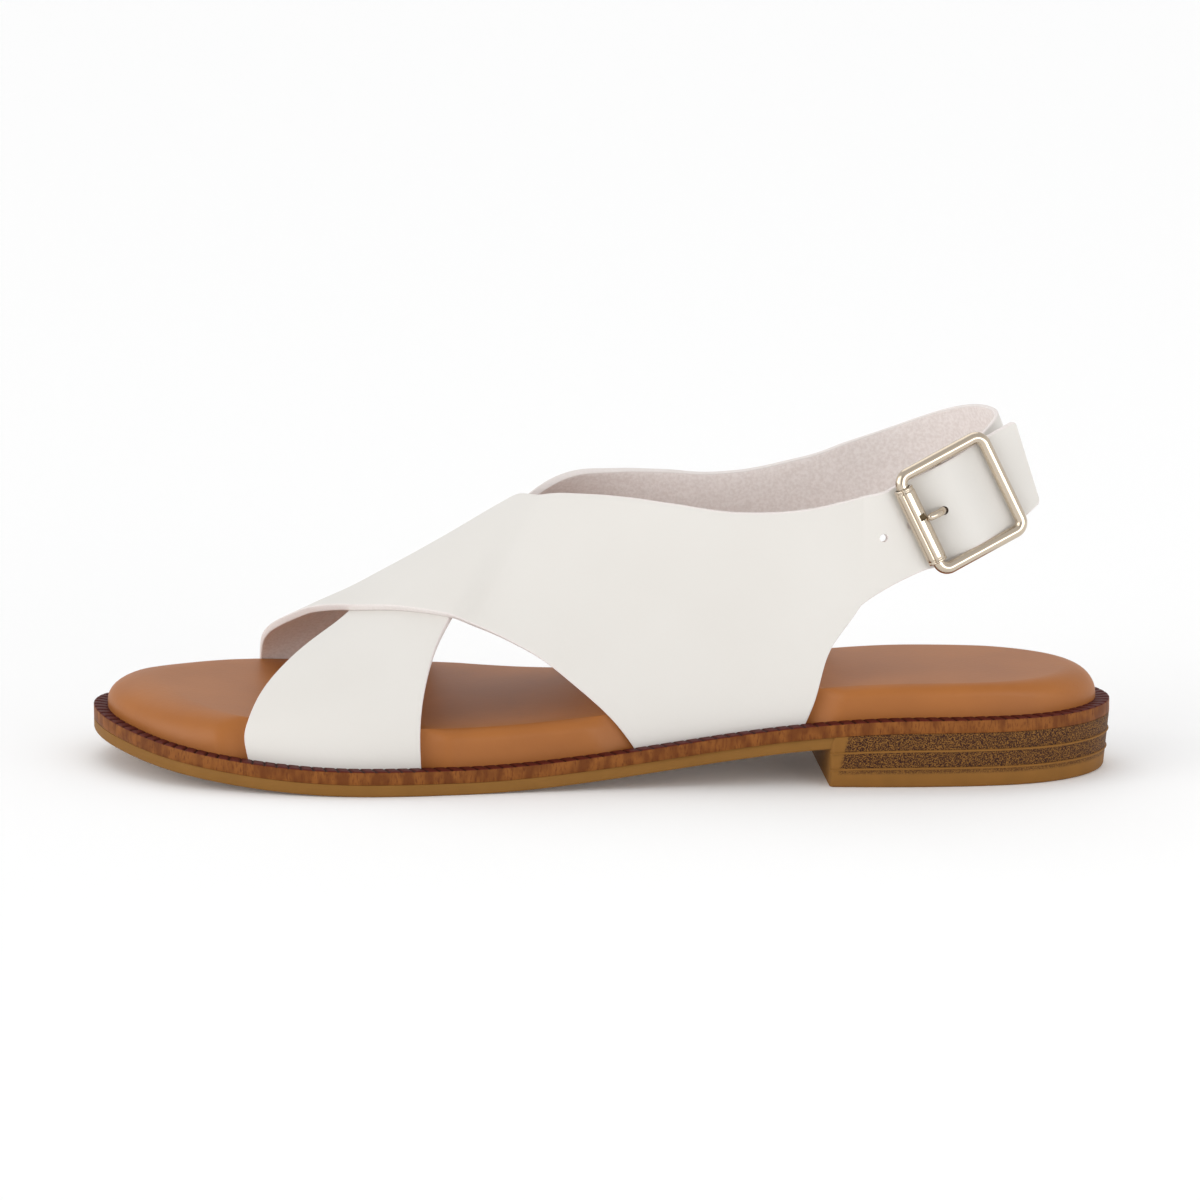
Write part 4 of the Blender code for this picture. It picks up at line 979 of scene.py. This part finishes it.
# The strap edges beside the footbed, in order from toe to heel, on the outer and the inner side
TOE_CUTS = 16
toe_rows = slice(0, TOE_CUTS * FINER)
quarter_rows = slice(TOE_CUTS * FINER, STRAP_CUTS[0] * FINER)
back_rows = slice(sum(STRAP_CUTS[:2]) * FINER, sum(STRAP_CUTS) * FINER)
outer_edges = (edge_line(under_rows[toe_rows], 0), edge_line(under_rows[toe_rows], -1),
               edge_line(over_rows[quarter_rows], 0), edge_line(over_rows[back_rows], 0))
inner_edges = (edge_line(over_rows[toe_rows], 0), edge_line(over_rows[toe_rows], -1),
               edge_line(under_rows[quarter_rows], 0), edge_line(under_rows[back_rows], 0))

wall_steps = [(0.0, share) for share in (0.0, 0.25, 0.5, 0.75)]
round_turns = np.radians(np.linspace(0.0, 90.0, 15))
round_steps = [(1.0 - math.cos(turn), 1.0 + math.sin(turn)) for turn in round_turns]
levels = []
for inward, rise in wall_steps + round_steps:
    halves = plan_sides(WELT_WIDTH + LASTING_ROOM - FOOTBED_TUCK + inward * footbed_round(PLAN[:, 0]))
    stations = even_stations(halves[0][0, 0], halves[0][-1, 0], True, True, FOOTBED_STEPS)
    level = []
    for side, offsets, edges in zip((-1, 1), side_offsets(halves, stations), (outer_edges, inner_edges)):
        heights = footbed_rim(stations, offsets, rise)
        strap = last_sides(stations, heights)[max(side, 0)] - side * PRESS_ROOM
        beside = side * np.minimum(side * offsets, side * strap)
        offsets += (beside - offsets) * pressed(stations, edges, 0.5 * side * BALL_WIDTH, rise)
        level.append(world(stations, offsets, heights))
    level[1][[0, -1]] = level[0][[0, -1]]
    levels.append(level)

# Waxed leather: smooth, so it shows a broad sheen, with fine pores and faint clouding.
# The pores are drawn coarser than real, so that they show.
PORE_SIZE = 0.0011
PORE_DEPTH = 0.00005
TAN_CLOUD = 0.018
tan_leather = finish_material("waxed_tan_leather", {"Roughness": 0.5, "IOR": 1.5, "Specular IOR Level": 0.4})
place = add(tan_leather, "ShaderNodeTexCoord").outputs["Object"]
cloud = add(tan_leather, "ShaderNodeTexNoise", {}, {"Vector": place, "Scale": 1.0 / TAN_CLOUD, "Detail": 4.0})
clouded = add(tan_leather, "ShaderNodeMapRange", {},
              {"Value": cloud.outputs["Fac"], "From Min": 0.3, "From Max": 0.7})
tone = add(tan_leather, "ShaderNodeMix", {"data_type": "RGBA"},
           {"Factor": clouded.outputs["Result"], 6: linear("9c5d25"), 7: linear("a56429")})
pores = add(tan_leather, "ShaderNodeTexVoronoi", {"feature": "SMOOTH_F1"},
            {"Vector": place, "Scale": 1.0 / PORE_SIZE, "Smoothness": 0.5})
pebble = add(tan_leather, "ShaderNodeBump", {},
             {"Height": pores.outputs["Distance"], "Strength": 0.4, "Distance": PORE_DEPTH})
link_shader(tan_leather, {"Base Color": tone.outputs[2], "Normal": pebble.outputs["Normal"]})

points, faces = slab(levels, FOOTBED_COLUMNS)
footbed = make_piece("footbed", points, faces, [tan_leather], sharp=60.0)
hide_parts("insole")

# Welt: a flat leather strip glued round the rim of the midsole, outside footbed and straps.
# It is dyed dark red-brown on top, and a heated wheel presses a row of notches across it; the notches are
# painted near black as shade.
# Its edge is trimmed and burnished together with the midsole's.
NOTCH_PITCH = 0.00308
NOTCH_SAMPLES = 14
NOTCH_WIDTH = 0.00026
NOTCH_LEAN = 0.35

# Section of the strip from its outer foot over the top: inset, lift, notch depth, scallop, share of dye
WELT_SECTION = (
    (0.0000, 0.0, 0.0, 0.0, 0.0),
    (0.0000, 0.00030, 0.0, 0.00010, 0.0),
    (0.0000, 0.00042, 0.00006, 0.00020, 0.35),
    (0.00006, 0.00054, 0.00024, 0.00030, 1.0),
    (0.00022, 0.00064, 0.00044, 0.00022, 1.0),
    (0.00070, 0.00070, 0.00050, 0.0, 1.0),
    (0.00150, 0.00070, 0.00048, 0.0, 1.0),
    (0.00240, 0.00068, 0.00042, 0.0, 1.0),
    (0.00320, 0.00066, 0.00030, 0.0, 1.0),
    (0.00365, 0.00066, 0.00020, 0.0, 1.0),
    (0.00365, 0.0, 0.0, 0.0, 1.0),
)

run = np.concatenate([[0.0], np.cumsum(np.linalg.norm(np.roll(PLAN, -1, axis=0) - PLAN, axis=1))])
notches = round(run[-1] / NOTCH_PITCH)
rim_run = np.linspace(0.0, run[-1], notches * NOTCH_SAMPLES, endpoint=False)
closed_plan = np.vstack([PLAN, PLAN[:1]])
rim = np.stack([np.interp(rim_run, run, closed_plan[:, axis]) for axis in (0, 1)], axis=1)
rim_inward = plan_inward(rim)
pitch = run[-1] / notches
rings = []
notch_shade_marks = []
dye_marks = []
for inset, lift, depth, scallop, dye in WELT_SECTION:
    phase = (rim_run + NOTCH_LEAN * inset) / pitch
    distance = np.abs(phase - np.round(phase)) * pitch
    notch = np.exp(-(distance / NOTCH_WIDTH) ** 2)
    ring = rim + rim_inward * (inset + scallop * notch)[:, None]
    height = feather_height(rim[:, 0] + rim_inward[:, 0] * inset) + MIDSOLE_THICKNESS + lift - depth * notch
    rings.append(world(ring[:, 0], ring[:, 1], height))
    # The notch marks carry painted shade into the dyed notches.
    notch_shade_marks.append(notch * dye)
    dye_marks.append(np.full(len(rim), dye))
faces = ring_faces(len(rings), len(rim), closed=True)

# Burnished leather edge: fibres pressed upright and waxed, brown with fine dark upright streaks.
STREAK_SIZE = 0.00045
STREAK_LENGTH = 0.0016
STREAK_DEPTH = 0.00008
BLOCK_SIZE = 0.0026
BLOCK_LENGTH = 0.006


def burnished_edge(name, dyed):
    """Burnished edge material; where dyed is set, the dye darkens it and the notch marks add painted shade in
    the notches.
    """
    material = finish_material(name, {"Roughness": 0.55, "IOR": 1.5, "Specular IOR Level": 0.15})
    place = add(material, "ShaderNodeTexCoord").outputs["Object"]
    upright = add(material, "ShaderNodeMapping", {},
                  {"Vector": place, "Scale": (1.0 / STREAK_SIZE, 1.0 / STREAK_SIZE, 1.0 / STREAK_LENGTH)})
    streak = add(material, "ShaderNodeTexNoise", {},
                 {"Vector": upright.outputs[0], "Scale": 1.0, "Detail": 3.0})
    streaked = add(material, "ShaderNodeMapRange", {},
                   {"Value": streak.outputs["Fac"], "From Min": 0.26, "From Max": 0.50})
    blocks = add(material, "ShaderNodeMapping", {},
                 {"Vector": place, "Scale": (1.0 / BLOCK_SIZE, 1.0 / BLOCK_SIZE, 1.0 / BLOCK_LENGTH)})
    cloud = add(material, "ShaderNodeTexNoise", {},
                {"Vector": blocks.outputs[0], "Scale": 1.0, "Detail": 1.0})
    block = add(material, "ShaderNodeMapRange", {},
                {"Value": cloud.outputs["Fac"], "From Min": 0.38, "From Max": 0.62})
    light = add(material, "ShaderNodeMix", {"data_type": "RGBA"},
                {"Factor": block.outputs["Result"], 6: linear("6b3a15"), 7: linear("875122")})
    tone = add(material, "ShaderNodeMix", {"data_type": "RGBA"},
               {"Factor": streaked.outputs["Result"], 6: linear("603111"), 7: light.outputs[2]})
    colour = tone.outputs[2]
    if dyed:
        dye = add(material, "ShaderNodeAttribute", {"attribute_name": "dye"}).outputs["Fac"]
        notch = add(material, "ShaderNodeAttribute", {"attribute_name": "notch"}).outputs["Fac"]
        # Painted shade: the notches are coloured near black.
        dye_and_notch_shade = add(material, "ShaderNodeMix", {"data_type": "RGBA"},
                        {"Factor": notch, 6: linear("521811"), 7: linear("150504")})
        mixed = add(material, "ShaderNodeMix", {"data_type": "RGBA"},
                    {"Factor": dye, 6: colour, 7: dye_and_notch_shade.outputs[2]})
        colour = mixed.outputs[2]
    ridges = add(material, "ShaderNodeBump", {},
                 {"Height": streak.outputs["Fac"], "Strength": 0.4, "Distance": STREAK_DEPTH})
    link_shader(material, {"Base Color": colour, "Normal": ridges.outputs["Normal"]})
    return material


dyed_welt = burnished_edge("wheeled_welt_leather", True)
welt = make_piece("welt", np.vstack(rings), faces, [dyed_welt],
                  marks={"dye": np.concatenate(dye_marks), "notch": np.concatenate(notch_shade_marks)})
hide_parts("welt")

# Midsole: a thin leather board the whole length of the shoe, between outsole and welt.
# The straps are lasted under the footbed and glued to it.
# Its edge is trimmed, stained brown and burnished.
SOLE_STEPS = 320
SOLE_COLUMNS = 4
MIDSOLE_EDGE_ROUND = 0.00012


def sole_level(inset, height, first=None, last=None):
    """One level of a sole layer; where it is cut across, first or last gives the outer and inner stations."""
    level = []
    for side, half in enumerate(plan_sides(inset)):
        start = half[0, 0] if first is None else first[side]
        end = half[-1, 0] if last is None else last[side]
        stations = even_stations(start, end, first is None, last is None, SOLE_STEPS)
        level.append(world(stations, np.interp(stations, half[:, 0], half[:, 1]), height(stations)))
    return level


levels = []
for inset, lift in ((MIDSOLE_EDGE_ROUND, 0.0), (0.0, MIDSOLE_EDGE_ROUND), (0.0, 0.5 * MIDSOLE_THICKNESS),
                    (0.0, MIDSOLE_THICKNESS)):
    levels.append(sole_level(inset, lambda station: feather_height(station) + lift))
stained_board = burnished_edge("burnished_leather_board", False)
points, faces = slab(levels, SOLE_COLUMNS)
midsole = make_piece("midsole", points, faces, [stained_board])
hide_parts("midsole")

# Outsole: the forepart and waist of the sole, moulded in ochre rubber and cemented under the midsole.
# Its edge comes plain and matt from the mould, with a small round at the floor.
# It is flat under the ball and ends at the heel breast.
SOLE_EDGE_ROUND = 0.0006
SOLE_TOP_ROUND = 0.0001
WAIST_TRIM = 0.0005
WAIST_FRONT = 0.105
WAIST_BACK = 0.150
OUTSOLE_END = (0.1830, 0.1790)

levels = []
trim = WAIST_TRIM * smooth_step((PLAN[:, 0] - WAIST_FRONT) / (WAIST_BACK - WAIST_FRONT))
outsole_steps = [(SOLE_EDGE_ROUND * (1.0 - math.sin(turn)), SOLE_EDGE_ROUND * (1.0 - math.cos(turn)))
                 for turn in np.radians((0.0, 30.0, 60.0, 90.0))]
outsole_steps += [(0.0, 0.5 * OUTSOLE_THICKNESS), (0.0, OUTSOLE_THICKNESS - SOLE_TOP_ROUND),
                  (SOLE_TOP_ROUND, OUTSOLE_THICKNESS)]
for extra, lift in outsole_steps:
    levels.append(sole_level(trim + extra, lambda station: feather_height(station) - OUTSOLE_THICKNESS + lift,
                             last=OUTSOLE_END))

# Moulded rubber: matt and even, with the fine grain of the mould and faint clouding in the colour.
MOULD_GRAIN = 0.0005
MOULD_DEPTH = 0.00006
RUBBER_CLOUD = 0.006
ochre_rubber = finish_material("moulded_ochre_rubber",
                               {"Roughness": 0.6, "IOR": 1.5, "Specular IOR Level": 0.15})
place = add(ochre_rubber, "ShaderNodeTexCoord").outputs["Object"]
cloud = add(ochre_rubber, "ShaderNodeTexNoise", {},
            {"Vector": place, "Scale": 1.0 / RUBBER_CLOUD, "Detail": 4.0})
tone = add(ochre_rubber, "ShaderNodeMix", {"data_type": "RGBA"},
           {"Factor": cloud.outputs["Fac"], 6: linear("7d5626"), 7: linear("8a612d")})
grain = add(ochre_rubber, "ShaderNodeTexNoise", {},
            {"Vector": place, "Scale": 1.0 / MOULD_GRAIN, "Detail": 2.0})
texture = add(ochre_rubber, "ShaderNodeBump", {},
              {"Height": grain.outputs["Fac"], "Strength": 0.35, "Distance": MOULD_DEPTH})
link_shader(ochre_rubber, {"Base Color": tone.outputs[2], "Normal": texture.outputs["Normal"]})

points, faces = slab(levels, SOLE_COLUMNS)
outsole = make_piece("outsole", points, faces, [ochre_rubber])
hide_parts("outsole")

# Heel: a low block moulded in the same rubber and cemented on, its breast square to the heel's own length.
# Two raised ribs part its side into lifts, and the lifts are printed with dark flecks like stacked leather.
# The rounded breast corners and the tread are left plain.
HEEL_TALL = OUTSOLE_THICKNESS + HEEL_RISE
HEEL_MIDDLE = -0.005
HEEL_TAPER = 0.0013
BREAST = (0.1820, 0.1780)
CORNER_ROUND = 0.0010
SHOULDER_ROUND = 0.0009
RIB_PROUD = 0.00035
RIB_PLACES = (0.353, 0.675)
RIB_HALF = 0.020
RIB_FOOT = 0.002
PRINT_BELOW = 0.050
PRINT_START = (0.0010, 0.0042)
PRINT_FADE = 0.0006
HEEL_EDGE_ROUND = 0.0006

# Side of the block from the tread up: share of its height, inset, strength of the print
heel_side = [(0.0, HEEL_EDGE_ROUND, 0.0), (0.012, 0.00025, 0.0), (0.045, 0.0, 0.0), (0.24, 0.0, 0.0)]
for rib, before, after in ((RIB_PLACES[0], 0.7, 1.0), (RIB_PLACES[1], 1.0, 1.0)):
    heel_side.append((rib - RIB_HALF - PRINT_BELOW, 0.0, before))
    heel_side.append((rib - RIB_HALF - RIB_FOOT, 0.0, before))
    for turn in np.radians(np.linspace(0.0, 180.0, 9)):
        heel_side.append((rib - RIB_HALF * math.cos(turn), -RIB_PROUD * math.sin(turn), 0.0))
    heel_side.append((rib + RIB_HALF + RIB_FOOT, 0.0, after))
heel_side += [(0.85, 0.0, 1.0), (0.995, 0.0, 1.0), (1.0, 0.0001, 1.0)]
levels = []
print_marks = []
for share, inset, strength in heel_side:
    shoulder = SHOULDER_ROUND * max(0.0, 1.0 - (1.0 - share) * HEEL_TALL / SHOULDER_ROUND) ** 2
    front = np.array(BREAST) + shoulder
    behind = PLAN[:, 0] - np.where(PLAN[:, 1] < HEEL_MIDDLE, *front)
    reach = np.clip(CORNER_ROUND - behind, 0.0, CORNER_ROUND)
    corner = CORNER_ROUND - np.sqrt(CORNER_ROUND ** 2 - reach ** 2)
    inward = corner + inset + HEEL_TAPER * (1.0 - share)
    level = sole_level(inward, lambda station: share * feather_height(station), first=front)
    begin = PRINT_START[0] + (PRINT_START[1] - PRINT_START[0]) * share
    for row, breast in zip(level, BREAST):
        behind = row[:, 0] + 0.5 * SHOE_LENGTH - breast
        print_marks.append(strength * smooth_step((behind - begin) / PRINT_FADE))
    levels.append(level)

# Printed rubber: ochre rubber with short dark flecks rolled on, like the edge of stacked leather.
FLECK_SIZE = 0.00026
printed_rubber = finish_material("fleck_printed_rubber",
                                 {"Roughness": 0.6, "IOR": 1.5, "Specular IOR Level": 0.15})
place = add(printed_rubber, "ShaderNodeTexCoord").outputs["Object"]
cloud = add(printed_rubber, "ShaderNodeTexNoise", {},
            {"Vector": place, "Scale": 1.0 / RUBBER_CLOUD, "Detail": 4.0})
rubber = add(printed_rubber, "ShaderNodeMix", {"data_type": "RGBA"},
             {"Factor": cloud.outputs["Fac"], 6: linear("7d5626"), 7: linear("8f622d")})
fleck = add(printed_rubber, "ShaderNodeTexNoise", {},
            {"Vector": place, "Scale": 1.0 / FLECK_SIZE, "Detail": 1.0, "Distortion": 0.6})
ink = add(printed_rubber, "ShaderNodeMapRange", {},
          {"Value": fleck.outputs["Fac"], "From Min": 0.58, "From Max": 0.48, "To Min": 0.05, "To Max": 1.0})
strength = add(printed_rubber, "ShaderNodeAttribute", {"attribute_name": "print"}).outputs["Fac"]
ragged = add(printed_rubber, "ShaderNodeMath", {"operation": "MULTIPLY"},
             {0: ink.outputs["Result"], 1: strength})
tone = add(printed_rubber, "ShaderNodeMix", {"data_type": "RGBA"},
           {"Factor": ragged.outputs[0], 6: rubber.outputs[2], 7: linear("311811")})
texture = add(printed_rubber, "ShaderNodeBump", {},
              {"Height": fleck.outputs["Fac"], "Strength": 0.35, "Distance": MOULD_DEPTH})
link_shader(printed_rubber, {"Base Color": tone.outputs[2], "Normal": texture.outputs["Normal"]})

points, faces = slab(levels, SOLE_COLUMNS)
print_marks = np.concatenate(print_marks)
print_marks = np.concatenate([print_marks, np.zeros(len(points) - len(print_marks))])
heel = make_piece("heel", points, faces, [printed_rubber], marks={"print": print_marks})
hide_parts("heel")

# Studio: an opal light table, white walls and ceiling, and three soft boxes: one overhead, one from the toe
# side, and a strip from the heel side that draws the bright lines on the buckle.
# The camera looks at the shoe's outer side, a little from above.
FLOOR_HALF = 6.0
SOFT_BOX_SPREAD = math.radians(50.0)
SOFT_BOX_WAY = Vector((-0.15, 0.50, 0.85))
SOFT_BOX_POWER = 0.48
FILL_BOX_SPREAD = math.radians(60.0)
FILL_BOX_WAY = Vector((-0.80, -0.56, 0.20))
FILL_BOX_POWER = 1.15
STRIP_BOX_WAY = Vector((0.65, -0.75, 0.13))
STRIP_BOX_AWAY = 1.5
STRIP_BOX_SIZE = (1.1, 0.45)
STRIP_BOX_POWER = 4.9
ELEVATION = math.radians(11.5)
DISTANCE = 1.6
TARGET = Vector((0.0, 0.0, 0.0401))
SENSOR = 36.0
FOCAL_PIXELS = 6464.0
IMAGE_PIXELS = 1200.0

# Opal acrylic: a matt white with a weak glow of its own, so that it runs out to white.
opal = finish_material("opal_acrylic", {"Base Color": linear("fafafa"), "Roughness": 0.9, "IOR": 1.49,
                                        "Specular IOR Level": 0.0,
                                        "Emission Color": linear("ffffff"), "Emission Strength": 0.05})
floor_mesh = bpy.data.meshes.new("floor")
floor_mesh.from_pydata([(-FLOOR_HALF, -FLOOR_HALF, 0.0), (FLOOR_HALF, -FLOOR_HALF, 0.0),
                        (FLOOR_HALF, FLOOR_HALF, 0.0), (-FLOOR_HALF, FLOOR_HALF, 0.0)], [], [(0, 1, 2, 3)])
floor_mesh.materials.append(opal)
floor = bpy.data.objects.new("floor", floor_mesh)
bpy.context.collection.objects.link(floor)

for name, way, spread, power in (("soft_box", SOFT_BOX_WAY, SOFT_BOX_SPREAD, SOFT_BOX_POWER),
                                 ("fill_box", FILL_BOX_WAY, FILL_BOX_SPREAD, FILL_BOX_POWER)):
    box = bpy.data.objects.new(name, bpy.data.lights.new(name, "SUN"))
    bpy.context.collection.objects.link(box)
    box.data.angle = spread
    box.data.energy = power
    box.rotation_euler = (-way).to_track_quat("-Z", "Y").to_euler()

strip_box = bpy.data.objects.new("strip_box", bpy.data.lights.new("strip_box", "AREA"))
bpy.context.collection.objects.link(strip_box)
strip_box.data.shape = "RECTANGLE"
strip_box.data.size, strip_box.data.size_y = STRIP_BOX_SIZE
strip_box.data.energy = STRIP_BOX_POWER
strip_box.location = TARGET + STRIP_BOX_AWAY * STRIP_BOX_WAY
strip_box.rotation_euler = (-STRIP_BOX_WAY).to_track_quat("-Z", "Y").to_euler()

# White walls: their brightness from the far left over the camera to the far right, place and value
WALLS = ((0.0, 2.35), (0.05, 2.13), (0.11, 0.95), (0.20, 0.54), (0.45, 0.49),
         (0.55, 0.69), (0.64, 0.83), (0.90, 0.83), (1.0, 0.83))
BRIGHTEST = 4.0
BACK_WALL = 0.9
CEILING = 0.69
studio = bpy.data.worlds.new("studio")
studio.use_nodes = True
bpy.context.scene.world = studio
way = add(studio, "ShaderNodeTexCoord").outputs["Generated"]
parts = add(studio, "ShaderNodeSeparateXYZ", {}, {0: way})
sideways = add(studio, "ShaderNodeMapRange", {},
               {"Value": parts.outputs["X"], "From Min": -1.0, "From Max": 1.0})
walls = add(studio, "ShaderNodeFloatCurve", {}, {"Value": sideways.outputs["Result"]})
line = walls.mapping.curves[0]
walls.mapping.clip_max_y = BRIGHTEST
for place, value in WALLS[1:-1]:
    line.points.new(place, value)
line.points[0].location = WALLS[0]
line.points[-1].location = WALLS[-1]
walls.mapping.update()
behind = add(studio, "ShaderNodeMapRange", {"interpolation_type": "SMOOTHSTEP"},
             {"Value": parts.outputs["Y"], "From Min": -0.15, "From Max": 0.15})
round_about = add(studio, "ShaderNodeMix", {},
                  {"Factor": behind.outputs["Result"], 2: walls.outputs["Value"], 3: BACK_WALL})
above = add(studio, "ShaderNodeMapRange", {"interpolation_type": "SMOOTHSTEP"},
            {"Value": parts.outputs["Z"], "From Min": 0.35, "From Max": 0.75})
brightness = add(studio, "ShaderNodeMix", {},
                 {"Factor": above.outputs["Result"], 2: round_about.outputs[0], 3: CEILING})
backdrop = studio.node_tree.nodes["Background"]
backdrop.inputs["Color"].default_value = linear("ffffff")
studio.node_tree.links.new(brightness.outputs[0], backdrop.inputs["Strength"])
bpy.context.scene.view_settings.view_transform = "Standard"

camera = bpy.data.objects.new("camera", bpy.data.cameras.new("camera"))
bpy.context.collection.objects.link(camera)
camera.data.sensor_width = SENSOR
camera.data.lens = SENSOR * FOCAL_PIXELS / IMAGE_PIXELS
camera.location = TARGET + DISTANCE * Vector((0.0, -math.cos(ELEVATION), math.sin(ELEVATION)))
camera.rotation_euler = (TARGET - camera.location).to_track_quat("-Z", "Y").to_euler()
bpy.context.scene.camera = camera
